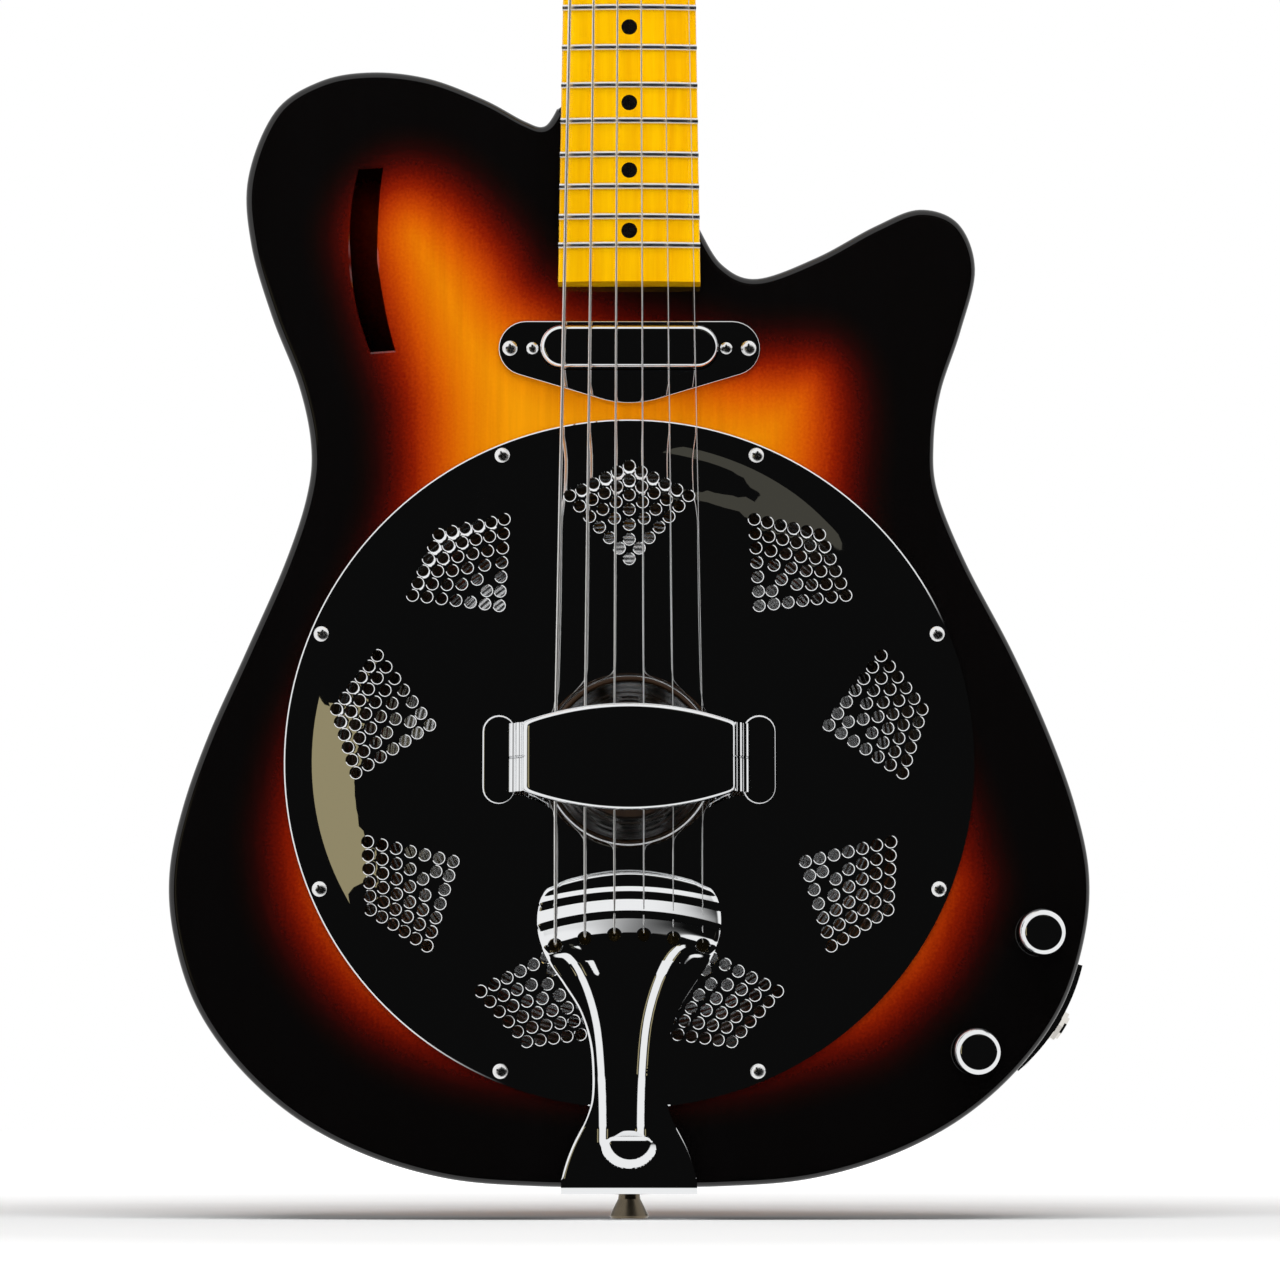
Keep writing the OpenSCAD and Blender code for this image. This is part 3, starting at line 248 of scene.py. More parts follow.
def plate(shape, loops, top, low, edge_rings=None, loose=None, lip=0.0, lip_drop=0.0):
    """A sheet over the first loop with the others cut out: top(x, y) above, low(x, y) under, walls down the
    holes. Where lip is set, a hole's wall first bulges that far into the hole, lip_drop below its edge.
    edge_rings run round the outside from the top's edge to the underside's. Without them its wall is
    straight."""
    p, t = fill(loops, loose)
    up = np.column_stack([p, top(p[:, 0], p[:, 1])])
    down = np.column_stack([p, low(p[:, 0], p[:, 1])])
    n = len(p)
    points, faces = [up, down], [t, t[:, ::-1] + n]
    e = rim_edges(t)
    outer = len(loops[0])
    hole = (e[:, 0] >= outer) | (e[:, 1] >= outer)
    wall = e if edge_rings is None else e[hole]
    if lip and len(loops) > 1:
        ids = np.unique(wall)
        centres = np.array([h.mean(0) for h in loops[1:]])
        c = centres[np.argmin(np.linalg.norm(p[ids][:, None] - centres[None], axis=-1), 1)]
        v = c - p[ids]
        v = v / np.maximum(np.linalg.norm(v, axis=1, keepdims=True), 1e-9)
        points.append(np.column_stack([p[ids] + lip * v, up[ids, 2] - lip_drop]))
        m = 2 * n + np.searchsorted(ids, wall)
        faces += [np.column_stack([wall[:, 1], wall[:, 0], m[:, 0], m[:, 1]]),
                  np.column_stack([m[:, 1], m[:, 0], wall[:, 0] + n, wall[:, 1] + n])]
    else:
        faces.append(np.column_stack([wall[:, 1], wall[:, 0], wall[:, 0] + n, wall[:, 1] + n]))
    shape.add(np.vstack(points), *faces)
    if edge_rings is not None:
        shape.grid(edge_rings, wrap_columns=True)


def rounded_rings(loop, top, low, round_top, round_low=0.0, weight=None, steps=5):
    """Rings round a plate's outside: inwards by round_top at the top, a quarter turn to the loop, down, and
    back in by round_low underneath. weight scales each point's inset. The loop runs counter-clockwise."""
    n = inward(loop) * (1 if weight is None else weight[:, None])
    rings = []
    for a in np.radians(np.linspace(0, 90, steps + 1)):
        rings.append((round_top * (1 - math.sin(a)), top - round_top * (1 - math.cos(a))))
    if round_low:
        for a in np.radians(np.linspace(0, 90, steps + 1)):
            rings.append((round_low * (1 - math.cos(a)), low + round_low * (1 - math.sin(a))))
    else:
        rings += [(0, low), (round_top, low)]
    return np.stack([np.column_stack([loop + n * d, np.full(len(loop), z)]) for d, z in rings])


def lathe(shape, profile, centre, segments=96):
    """The profile (radius, height) turned about the z axis at centre (x, y)."""
    r, z = np.asarray(profile, float).T
    a = np.linspace(0, 2 * np.pi, segments, endpoint=False)
    p = np.stack([r[:, None] * np.cos(a), r[:, None] * np.sin(a),
                  np.broadcast_to(z[:, None], (len(r), segments))], -1)
    shape.grid(p + np.array([centre[0], centre[1], 0.0]), wrap_columns=True)


def tube(shape, path, radius, sides=12):
    """Circles of the radius round a path, in planes halfway between neighbouring directions, closed at both
    ends."""
    p = np.asarray(path, float)
    t = np.gradient(p, axis=0)
    t /= np.linalg.norm(t, axis=1, keepdims=True)
    u = np.cross(t, np.array([0.7, 0.05, 0.7]))
    u /= np.linalg.norm(u, axis=1, keepdims=True)
    v = np.cross(t, u)
    a = np.linspace(0, 2 * np.pi, sides, endpoint=False)
    across, over = np.cos(a)[None, :, None], np.sin(a)[None, :, None]
    ring = p[:, None] + radius * (across * u[:, None] + over * v[:, None])
    first = len(p) * sides
    faces = grid_faces(len(p), sides, wrap_columns=True)
    ends = [tuple(range(sides)), tuple(range(first - 1, first - sides - 1, -1))]
    shape.add(ring, faces, ends)


def thick_grid(shape, p, thickness):
    """A grid of points with a second skin that far behind it along its normals, and walls all round."""
    du, dv = np.gradient(p, axis=0), np.gradient(p, axis=1)
    n = np.cross(du, dv)
    n /= np.maximum(np.linalg.norm(n, axis=-1, keepdims=True), 1e-9)
    q = p - thickness * n
    rows, columns = p.shape[:2]
    k = rows * columns
    ids = np.arange(k).reshape(rows, columns)
    border = np.concatenate([ids[0], ids[1:, -1], ids[-1, -2::-1], ids[-2:0:-1, 0]])
    after = np.roll(border, -1)
    wall = np.column_stack([border, after, after + k, border + k])
    front = grid_faces(rows, columns)
    shape.add(np.vstack([p.reshape(-1, 3), q.reshape(-1, 3)]), front, front[:, ::-1] + k, wall)


# ---- Materials ----
def linear(r, g, b):
    """A display colour from 0 to 255 as linear values."""
    c = np.array([r, g, b]) / 255
    return tuple(np.where(c <= 0.04045, c / 12.92, ((c + 0.055) / 1.055) ** 2.4).tolist()) + (1.0,)


def node(tree, kind, **inputs):
    """A new node of this kind, with values on its sockets; an underscore in a name stands for a space."""
    made = tree.nodes.new(kind)
    for key, value in inputs.items():
        made.inputs[key.replace("_", " ")].default_value = value
    return made


def placed(tree, group, **values):
    """The node group placed in the tree with its own values."""
    made = tree.nodes.new("ShaderNodeGroup")
    made.node_tree = group
    for key, value in values.items():
        made.inputs[key].default_value = value
    return made


def sockets(group, direction, kind, **values):
    """New sockets of one kind on a node group, with their first values."""
    for name, value in values.items():
        made = group.interface.new_socket(name, in_out=direction, socket_type="NodeSocket" + kind)
        if value is not None:
            made.default_value = value


def grain_group():
    """Wood grain: noise drawn out along the neck, fine over broad, as a mask and a tint of two colours."""
    g = bpy.data.node_groups.new("long_grain", "ShaderNodeTree")
    sockets(g, "INPUT", "Float", Fineness=200)
    sockets(g, "INPUT", "Color", Dark=(0.8, 0.8, 0.8, 1), Light=(1, 1, 1, 1))
    sockets(g, "OUTPUT", "Float", Mask=None)
    sockets(g, "OUTPUT", "Color", Tint=None)
    entry, leave = g.nodes.new("NodeGroupInput"), g.nodes.new("NodeGroupOutput")
    where = g.nodes.new("ShaderNodeTexCoord")
    stretch = node(g, "ShaderNodeMapping")
    stretch.inputs["Scale"].default_value = (1, 1, 0.05)
    fine = node(g, "ShaderNodeTexNoise", Detail=5.0, Roughness=0.65)
    broad = node(g, "ShaderNodeTexNoise", Scale=22.0, Detail=3.0)
    mix = g.nodes.new("ShaderNodeMath")
    mix.operation = "MULTIPLY_ADD"
    mix.inputs[1].default_value = 0.55
    half = g.nodes.new("ShaderNodeMath")
    half.operation = "MULTIPLY"
    half.inputs[1].default_value = 0.45
    spread = node(g, "ShaderNodeMapRange", From_Min=0.36, From_Max=0.64)
    tint = g.nodes.new("ShaderNodeMix")
    tint.data_type = "RGBA"
    link = g.links.new
    link(where.outputs["Object"], stretch.inputs["Vector"])
    link(stretch.outputs["Vector"], fine.inputs["Vector"])
    link(stretch.outputs["Vector"], broad.inputs["Vector"])
    link(entry.outputs["Fineness"], fine.inputs["Scale"])
    link(broad.outputs["Fac"], half.inputs[0])
    link(fine.outputs["Fac"], mix.inputs[0])
    link(half.outputs[0], mix.inputs[2])
    link(mix.outputs[0], spread.inputs["Value"])
    link(spread.outputs["Result"], tint.inputs["Factor"])
    link(entry.outputs["Dark"], tint.inputs[6])
    link(entry.outputs["Light"], tint.inputs[7])
    link(spread.outputs["Result"], leave.inputs["Mask"])
    link(tint.outputs[2], leave.inputs["Tint"])
    return g


def smudge_group():
    """Handling: a soft cloud of fingermarks, as a roughness between the clean and the handled value."""
    g = bpy.data.node_groups.new("handling", "ShaderNodeTree")
    sockets(g, "INPUT", "Float", Clean=0.03, Handled=0.1, Size=25.0)
    sockets(g, "OUTPUT", "Float", Roughness=None)
    entry, leave = g.nodes.new("NodeGroupInput"), g.nodes.new("NodeGroupOutput")
    where = g.nodes.new("ShaderNodeTexCoord")
    cloud = node(g, "ShaderNodeTexNoise", Detail=4.0, Roughness=0.6)
    patch = node(g, "ShaderNodeMapRange", From_Min=0.5, From_Max=0.75)
    between = node(g, "ShaderNodeMapRange")
    link = g.links.new
    link(where.outputs["Object"], cloud.inputs["Vector"])
    link(entry.outputs["Size"], cloud.inputs["Scale"])
    link(cloud.outputs["Fac"], patch.inputs["Value"])
    link(patch.outputs["Result"], between.inputs["Value"])
    link(entry.outputs["Clean"], between.inputs["To Min"])
    link(entry.outputs["Handled"], between.inputs["To Max"])
    link(between.outputs["Result"], leave.inputs["Roughness"])
    return g


GRAIN, HANDLING = grain_group(), smudge_group()


def new_material(name, **values):
    """A material whose own shader has these values. Returns it with its tree and its shader."""
    m = bpy.data.materials.new(name)
    m.use_nodes = True
    shader = m.node_tree.nodes["Principled BSDF"]
    for key, value in values.items():
        shader.inputs[key.replace("_", " ")].default_value = value
    return m, m.node_tree, shader


def handled(tree, shader, clean, marked, size):
    """Fingermarks on a finish: its roughness varies between clean and marked."""
    g = placed(tree, HANDLING, Clean=clean, Handled=marked, Size=size)
    tree.links.new(g.outputs["Roughness"], shader.inputs["Roughness"])


def ridged(tree, shader, height, strength, distance):
    """Bumps a finish by a node's output."""
    b = node(tree, "ShaderNodeBump", Strength=strength, Distance=distance)
    tree.links.new(height, b.inputs["Height"])
    tree.links.new(b.outputs["Normal"], shader.inputs["Normal"])


def metal(name, colour, clean, marked, size=30.0):
    """Bare or plated metal with fingermarks."""
    m, tree, shader = new_material(name, Base_Color=colour, Metallic=1.0)
    handled(tree, shader, clean, marked, size)
    return m


def wood(name, dark, light, fineness, roughness, coat=0.0):
    """Wood with its grain in two colours, bare or under clear lacquer."""
    m, tree, shader = new_material(name, Roughness=roughness, Coat_Weight=coat, Coat_Roughness=0.04,
                                   Specular_IOR_Level=0.0 if coat else 0.3)
    g = placed(tree, GRAIN, Fineness=fineness, Dark=dark, Light=light)
    tree.links.new(g.outputs["Tint"], shader.inputs["Base Color"])
    ridged(tree, shader, g.outputs["Mask"], 0.08, 0.0002)
    return m


# Colours of the burst by distance inside the sprayed edge, in mm
BURST = [(-20, (7, 6, 6)), (-15, (13, 6, 5)), (-10, (28, 6, 5)), (-5, (56, 8, 5)), (0, (92, 14, 4)),
         (5, (130, 27, 4)), (10, (165, 50, 5)), (15, (190, 73, 5)), (20, (207, 95, 5)), (26, (216, 114, 5)),
         (34, (223, 131, 6)), (45, (230, 146, 8))]
BURST_LOW, BURST_HIGH = -20.0, 45.0


def sunburst():
    """Three-colour sunburst: the colour follows the attribute burst, the distance inside the sprayed edge in
    mm. Fine specks of spray shift the edge, and the grain shows through."""
    m, tree, shader = new_material("sunburst_lacquer", Roughness=0.5, Coat_Weight=1.0, Coat_Roughness=0.02,
                                   Specular_IOR_Level=0.0)
    burst = tree.nodes.new("ShaderNodeAttribute")
    burst.attribute_name = "burst"
    where = tree.nodes.new("ShaderNodeTexCoord")
    speck = node(tree, "ShaderNodeTexNoise", Scale=900.0, Detail=2.0)
    shift = node(tree, "ShaderNodeMapRange", From_Min=0.3, From_Max=0.7, To_Min=-1.6, To_Max=1.6)
    add = tree.nodes.new("ShaderNodeMath")
    span = node(tree, "ShaderNodeMapRange", From_Min=BURST_LOW, From_Max=BURST_HIGH)
    ramp = tree.nodes.new("ShaderNodeValToRGB")
    points = ramp.color_ramp.elements
    for inset, _ in BURST[1:-1]:
        points.new((inset - BURST_LOW) / (BURST_HIGH - BURST_LOW))
    for element, (_, colour) in zip(points, BURST):
        element.color = linear(*colour)
    g = placed(tree, GRAIN, Fineness=260, Dark=(0.86, 0.82, 0.78, 1), Light=(1.05, 1.06, 1.08, 1))
    tint = tree.nodes.new("ShaderNodeMix")
    tint.data_type = "RGBA"
    tint.blend_type = "MULTIPLY"
    tint.inputs["Factor"].default_value = 1.0
    link = tree.links.new
    link(where.outputs["Object"], speck.inputs["Vector"])
    link(speck.outputs["Fac"], shift.inputs["Value"])
    link(burst.outputs["Fac"], add.inputs[0])
    link(shift.outputs["Result"], add.inputs[1])
    link(add.outputs[0], span.inputs["Value"])
    link(span.outputs["Result"], ramp.inputs["Fac"])
    link(ramp.outputs["Color"], tint.inputs[6])
    link(g.outputs["Tint"], tint.inputs[7])
    link(tint.outputs[2], shader.inputs["Base Color"])
    handled(tree, shader, 0.42, 0.5, 20.0)
    return m


def spun(name, colour, clean, marked):
    """Spun sheet: fine turning rings about the cone's centre."""
    m, tree, shader = new_material(name, Base_Color=colour, Metallic=1.0)
    handled(tree, shader, clean, marked, 40.0)
    where = tree.nodes.new("ShaderNodeTexCoord")
    centre = tree.nodes.new("ShaderNodeMapping")
    centre.inputs["Location"].default_value = (0, 0, -CONE_Y / 1000)
    rings = node(tree, "ShaderNodeTexWave", Scale=160.0, Distortion=0.4, Detail=2.0)
    rings.wave_type = "RINGS"
    rings.rings_direction = "Y"
    tree.links.new(where.outputs["Object"], centre.inputs["Vector"])
    tree.links.new(centre.outputs["Vector"], rings.inputs["Vector"])
    ridged(tree, shader, rings.outputs["Color"], 0.25, 0.0003)
    return m


def windings(name, colour):
    """Round-wound string: the winding's ridges, spaced along the string's own UV map."""
    m, tree, shader = new_material(name, Base_Color=colour, Metallic=1.0, Roughness=0.45)
    uv = tree.nodes.new("ShaderNodeUVMap")
    wave = node(tree, "ShaderNodeTexWave", Scale=1.0)
    wave.bands_direction = "Y"
    tree.links.new(uv.outputs["UV"], wave.inputs["Vector"])
    ridged(tree, shader, wave.outputs["Color"], 0.6, 0.0002)
    return m


CHROME = metal("chrome_plate", (0.86, 0.87, 0.88, 1), 0.012, 0.035)
LOOKS = {
    "sunburst_lacquer": sunburst(),
    "chrome": CHROME,
    "nickel": metal("nickel_plate", (0.78, 0.75, 0.70, 1), 0.12, 0.25),
    "screw_steel": metal("plated_screws", (0.88, 0.88, 0.88, 1), 0.22, 0.34, 300.0),
    "spun_aluminium": spun("spun_aluminium", (0.82, 0.83, 0.84, 1), 0.18, 0.3),
    "wound_nickel": windings("wound_nickel", (0.92, 0.91, 0.89, 1)),
    "plain_steel": metal("plain_steel", (0.95, 0.95, 0.95, 1), 0.42, 0.48),
    "fret_wire": metal("fret_wire", (0.92, 0.93, 0.95, 1), 0.3, 0.36, 200.0),
    "brass": metal("brass", (0.83, 0.60, 0.25, 1), 0.15, 0.35, 200.0),
    "aged_bronze": metal("aged_bronze", (0.16, 0.13, 0.09, 1), 0.25, 0.45, 120.0),
    "magnet": metal("cast_magnet", (0.45, 0.45, 0.45, 1), 0.35, 0.5),
    "tinted_maple": wood("tinted_maple", linear(222, 152, 3), linear(246, 194, 4), 150, 0.5, coat=1.0),
    "maple": wood("dark_maple", linear(44, 30, 20), linear(66, 46, 30), 200, 0.5),
    "inner_wood": wood("inner_wood", linear(70, 54, 38), linear(96, 76, 54), 180, 0.7),
}


def plain(name, slot, colour, clean, marked, size=60.0, **values):
    """A finish of one colour with fingermarks, kept for the slot."""
    m, tree, shader = new_material(name, Base_Color=colour, **values)
    handled(tree, shader, clean, marked, size)
    LOOKS[slot] = m


plain("black_lacquer", "black_lacquer", linear(7, 6, 6), 0.42, 0.5, 20.0,
      Coat_Weight=1.0, Coat_Roughness=0.02, Specular_IOR_Level=0.0)
plain("bobbin_plastic", "bobbin", linear(22, 20, 20), 0.4, 0.55)
plain("black_rubber", "rubber", linear(24, 24, 24), 0.6, 0.75)
plain("wire_jacket", "wire_jacket", linear(30, 30, 32), 0.4, 0.55)
plain("black_inlay", "black_inlay", linear(10, 9, 9), 0.25, 0.35, 300.0, Coat_Weight=1.0, Coat_Roughness=0.05)
plain("polished_bone", "bone", linear(236, 226, 198), 0.3, 0.42, 300.0)

slots = {p["node"]: p["material_slot"] for p in frame["record"]["subparts"]}
for name, part in frame["nodes"].items():
    part.data.materials.clear()
    part.data.materials.append(LOOKS[slots[name]])

# ---- Body ----
LOWER_BOUT = [[0, -166.5], [35, -166.3], [70, -163.5], [102, -154.5], [130, -140], [153, -120], [170, -96],
              [179, -69], [181, -44], [176, -18], [166, 11], [151.5, 44]]
TREBLE_SIDE = [[133.5, 79], [122.5, 107], [121, 127], [124, 148], [132, 172], [138, 197], [131.5, 215.5],
               [116, 221.3], [98, 214.5], [75, 202], [51, 193.3], [37, 199], [28, 213.5]]
BASS_SIDE = [[-136.5, 79], [-128, 106], [-126.5, 126], [-131.5, 150], [-142.5, 178], [-151, 207],
             [-152.5, 234], [-142, 261], [-124, 273.5], [-103, 277.2], [-80, 274.5], [-58, 266],
             [-42, 257.3], [-34, 255.2], [-28.8, 262.5]]
SPRAY_EDGE = [[84.9, -551], [86.3, -535], [86.8, -520], [83.5, -504], [75.2, -497], [59.5, -496.5], [45, -496],
              [30, -492], [10, -487], [-11, -481], [-26, -475], [-39, -468], [-47, -455.4], [-56, -444],
              [-66, -434], [-78, -426], [-90, -424], [-99.5, -428], [-107, -437], [-110.5, -448],
              [-109.5, -458], [-105, -474], [-101, -487], [-97, -500], [-92.1, -517], [-90.6, -534],
              [-90.1, -548], [-93, -565], [-102, -590], [-118, -625], [-131, -655], [-137.5, -685],
              [-136.5, -705], [-133, -720], [-124, -737], [-111, -753], [-95.5, -765.4], [-72, -775.5],
              [-45, -781], [-15, -783.5], [15, -784], [45, -781.5], [77.3, -773.6], [96.5, -767.1],
              [112, -754], [125, -739], [136, -712], [134, -697], [129, -680], [118, -652], [105, -622],
              [93, -592], [86, -570]]


def neck_half(y):
    """Half the neck's width at y, growing evenly from the nut to the neck's end."""
    return (NUT_WIDTH + (HEEL_WIDTH - NUT_WIDTH) * np.asarray(y, float) / NECK_END) / 2


def plan(points):
    """Points measured from the cone's centre, in the guitar's plan."""
    return np.asarray(points, float) + np.array([0.0, CONE_Y])


treble = curve(plan(LOWER_BOUT + TREBLE_SIDE), 10)
bass = curve(plan([[-p[0], p[1]] for p in LOWER_BOUT] + BASS_SIDE), 10)
body_front_y = bass[-1, 1]
pocket = NECK_END - NECK_GAP
pocket_side = [[neck_half(y) + NECK_GAP, y] for y in (pocket, body_front_y)]
foot = [neck_half(treble[-1, 1]) + NECK_GAP, treble[-1, 1]]
bass_end = [-pocket_side[1][0], body_front_y]

# The top's outline leaves out the neck pocket, and only the outer curve has a rounded edge
top_loop = np.vstack([treble[:-1], [foot], [pocket_side[0]], [[-pocket_side[0][0], pocket]], [bass_end],
                      bass[-2:0:-1]])
count = len(treble) - 1
weight = np.ones(len(top_loop))
weight[count:count + 4] = 0
for k, share in enumerate((0.55, 0.85)):
    weight[count - 1 - k] = weight[count + 4 + k] = share
top_in = inward(top_loop) * weight[:, None] * EDGE_ROUND
spray = closed_curve(SPRAY_EDGE, 4)


def circle(centre, radius, sides):
    """A closed loop of so many points round the centre, counter-clockwise."""
    return arc(centre, radius, 0, 360, sides)[:-1]


def stadium(centre, length, width, steps=12):
    """A bar with round ends, counter-clockwise."""
    r = width / 2
    return np.vstack([arc((centre[0] + length / 2 - r, centre[1]), r, -90, 90, steps),
                      arc((centre[0] - length / 2 + r, centre[1]), r, 90, 270, steps)])


def sound_hole():
    """A crescent between two arcs."""
    p = np.vstack([arc((60, 0), 168, 180 + 13, 180 - 13, 14),
                   arc((-2, 0), 118, 180 - 18.7, 180 + 18.7, 18)])
    keep = np.linalg.norm(p - np.roll(p, 1, 0), axis=1) > 0.4
    a = math.radians(4)
    turn = np.array([[math.cos(a), math.sin(a)], [-math.sin(a), math.cos(a)]])
    return p[keep] @ turn + np.array([8, CONE_Y + 208])


def lattice(xs, ys, shift):
    """Points at every x and y, shifted a little so that none falls on an outline."""
    gx, gy = np.meshgrid(xs, ys)
    return np.column_stack([gx.ravel(), gy.ravel()]) + shift


def flat(z):
    """A level surface, as a function of x and y."""
    return lambda x, y: np.full(len(x), float(z))


openings = [circle((0, CONE_Y), COVER_RING_R, 96), sound_hole(), stadium((0, PICKUP_Y), 88, 21)]
loose = lattice(np.arange(-178, 180, 4.0), np.arange(-822, -384, 4.0), 0.013)
edge_loop = top_loop + top_in
room = distance(loose, edge_loop) > 2.0
for o in openings:
    room &= distance(loose, o) < -1.5
lacquered_top = Shape()
plate(lacquered_top, [edge_loop] + openings, flat(0), flat(-PLATE),
      rounded_rings(top_loop, 0, -PLATE, EDGE_ROUND, weight=weight, steps=6), loose[room],
      lip=0.8, lip_drop=0.5)
top_piece = lacquered_top.build("lacquered_top", sharp=24)


def paint_burst(piece, edge, inset=0.0):
    """Stores at each point how far it lies inside the sprayed edge, which is inset mm inside the loop."""
    co = np.empty(len(piece.data.vertices) * 3, np.float32)
    piece.data.vertices.foreach_get("co", co)
    co = co.reshape(-1, 3)[:, [0, 2]].astype(float) * 1000
    value = np.concatenate([distance(part, edge) for part in np.array_split(co, 1 + len(co) // 4000)])
    attribute = piece.data.attributes.new("burst", "FLOAT", "POINT")
    attribute.data.foreach_set("value", (value - inset).astype(np.float32))


paint_burst(top_piece, spray)
finish_piece(top_piece, "root", ["body_top"], LOOKS["sunburst_lacquer"])

# The rim and the back go right round, under the neck as well
side_loop = np.vstack([treble[:-1], [foot], [pocket_side[1]], [bass_end], bass[-2:0:-1]])


def rim_wall():
    """The outline's wall from the top plate down to the back plate, with a step under the neck."""
    loop = np.vstack([side_loop[:count + 1], side_loop[count:count + 3], side_loop[count + 2:]])
    low_neck = np.zeros(len(loop), bool)
    low_neck[count + 1:count + 4] = True
    n = inward(side_loop)
    n = np.vstack([n[:count + 1], n[count:count + 3], n[count + 2:]])
    n[count:count + 2] = [-1, -0.2]
    n[count + 2] = [-1, -1]
    n[count + 3:count + 5] = [1, -1]
    high = np.where(low_neck, BOARD_TOP - HEEL_DEPTH, -PLATE)
    inner = loop + RIM_THICK * n
    wall = [np.column_stack([loop, high])]
    for share in (0.3, 0.7, 1.0):
        wall.append(np.column_stack([loop, high + share * (PLATE - BODY_DEPTH - high)]))
    wall.append(np.column_stack([inner, np.full(len(loop), PLATE - BODY_DEPTH)]))
    wall.append(np.column_stack([inner, high]))
    shape = Shape()
    shape.grid(np.stack(wall), wrap_rows=True, wrap_columns=True)
    return shape


rim_piece = rim_wall().build("lacquered_rim", sharp=50)
finish_piece(rim_piece, "root", ["body_rim"], LOOKS["black_lacquer"])

lacquered_back = Shape()
grown = side_loop + inward(side_loop) * EDGE_ROUND
first_ring = np.column_stack([grown, np.full(len(grown), PLATE - BODY_DEPTH)])[None]
back_edge = rounded_rings(side_loop, PLATE - BODY_DEPTH, -BODY_DEPTH, 0.01, EDGE_ROUND, steps=6)
plate(lacquered_back, [grown], flat(PLATE - BODY_DEPTH), flat(-BODY_DEPTH),
      np.concatenate([first_ring, back_edge]), loose[distance(loose, grown) > 2.0])
back_piece = lacquered_back.build("lacquered_back", sharp=50)
paint_burst(back_piece, side_loop, 38.0)
finish_piece(back_piece, "root", ["body_back"], LOOKS["sunburst_lacquer"])


# ---- Neck ----
# Half the headstock's width along it from the nut
HEAD_SIDE = [[21.2, -2], [22.5, 9], [28, 24], [34, 40], [36.5, 64], [35.5, 100], [33, 140], [29, 164],
             [18, 177], [0, 182]]


def neck_ring(half, top, side, low, power, roll, crowned):
    """One closed section of the neck: crowned top from x = +half to -half with rolled edges, then the back as
    x = half cos(a)^power, z = side - (side - low) sin(a)^power. Returns (x, z)."""
    drop = (lambda x: np.sqrt(BOARD_RADIUS ** 2 - x ** 2) - BOARD_RADIUS) if crowned else (lambda x: 0 * x)
    x = np.linspace(half - roll, roll - half, 17)
    upper = np.column_stack([x, top + drop(x)])
    corner = np.radians(np.linspace(90, 180, 5)[1:])
    edge = top - roll + drop(np.array([half - roll]))[0]
    left = np.column_stack([roll - half + roll * np.cos(corner), edge + roll * np.sin(corner)])
    right = left[::-1] * [-1, 1]
    a = np.radians(np.linspace(180, 360, 33))
    s = lambda t: np.sign(t) * np.abs(t) ** power
    back = np.column_stack([half * s(np.cos(a)), side - (side - low) * s(-np.sin(a))])
    return np.vstack([upper, left, back, right])


def neck_rings():
    """Sections along the shaft into the heel, then along the tilted headstock to its round end."""
    rings = []
    heel_start, blend_start = body_front_y + 6, body_front_y + 34
    shaft_y = [[NECK_END, NECK_END + 10], np.linspace(heel_start, blend_start, 12),
               np.linspace(blend_start + 20, 0, 12)]
    for y in np.concatenate(shaft_y):
        f = smooth(y, heel_start, blend_start)
        low = BOARD_TOP - (HEEL_DEPTH + (NUT_DEPTH - HEEL_DEPTH) * f) + 2.0 * smooth(y, blend_start, 0)
        ring = neck_ring(float(neck_half(y)), BOARD_TOP, BOARD_TOP - 4, low, 0.25 + 0.6 * f, 1.0, True)
        rings.append(np.column_stack([ring[:, 0], np.full(len(ring), y), ring[:, 1]]))
    ring = neck_ring(NUT_WIDTH / 2, HEAD_FACE, HEAD_FACE - 3, -9, 0.85, 0.8, False)
    rings.append(np.column_stack([ring[:, 0], np.zeros(len(ring)), ring[:, 1]]))
    side = curve(HEAD_SIDE, 8)
    round_end = 150 + 32 * np.sin(np.linspace(0.05, 1, 22) * math.pi / 2)
    for v in np.concatenate([np.linspace(0, 150, 34), round_end]):
        half = float(np.interp(v, side[:, 1], side[:, 0])) if v > 0 else NUT_WIDTH / 2
        half = max(half, 0.05)
        f = smooth(v, 0, 26)
        thick = 18 + (HEAD_THICK - 18) * f
        roll = min(1.6, half * 0.45)
        ring = neck_ring(half, 0, -roll - 0.5, -thick, 0.85 + (0.14 - 0.85) * f, roll, False)
        rings.append(on_head(ring[:, 0], v, ring[:, 1]))
    return np.stack(rings)


def on_head(x, v, w):
    """A point of the headstock's plan, v along it and w above its face."""
    along, fall = math.cos(HEAD_ANGLE), math.sin(HEAD_ANGLE)
    y = HEAD_START + v * along + w * fall
    return np.stack(np.broadcast_arrays(x, y, HEAD_FACE - v * fall + w * along), -1)


def neck():
    """The neck's sections joined in order, with both ends closed."""
    rings = neck_rings()
    m = rings.shape[1]
    last = (len(rings) - 1) * m
    ends = [tuple(range(m)), tuple(range(last + m - 1, last - 1, -1))]
    shape = Shape()
    shape.add(rings, grid_faces(len(rings), m, wrap_columns=True), ends)
    return shape


def bore(piece, starts, stops, radius, sides, solver):
    """Bores a straight round hole from each start to its stop."""
    cutter_shape = Shape()
    for ends in zip(starts, stops):
        tube(cutter_shape, np.array(ends, float), radius, sides)
    cutter = cutter_shape.build("cutter", sharp=40)
    tool = piece.modifiers.new("bore", "BOOLEAN")
    tool.object = cutter
    tool.solver = solver
    bpy.context.view_layer.objects.active = piece
    bpy.ops.object.modifier_apply(modifier=tool.name)
    bpy.data.objects.remove(cutter)


neck_piece = neck().build("maple_neck", sharp=55)
bore(neck_piece, [(0, 5.4, 3)], [(0, 40, 3)], 5.0, 32, "EXACT")
finish_piece(neck_piece, "root", ["neck"], LOOKS["tinted_maple"])


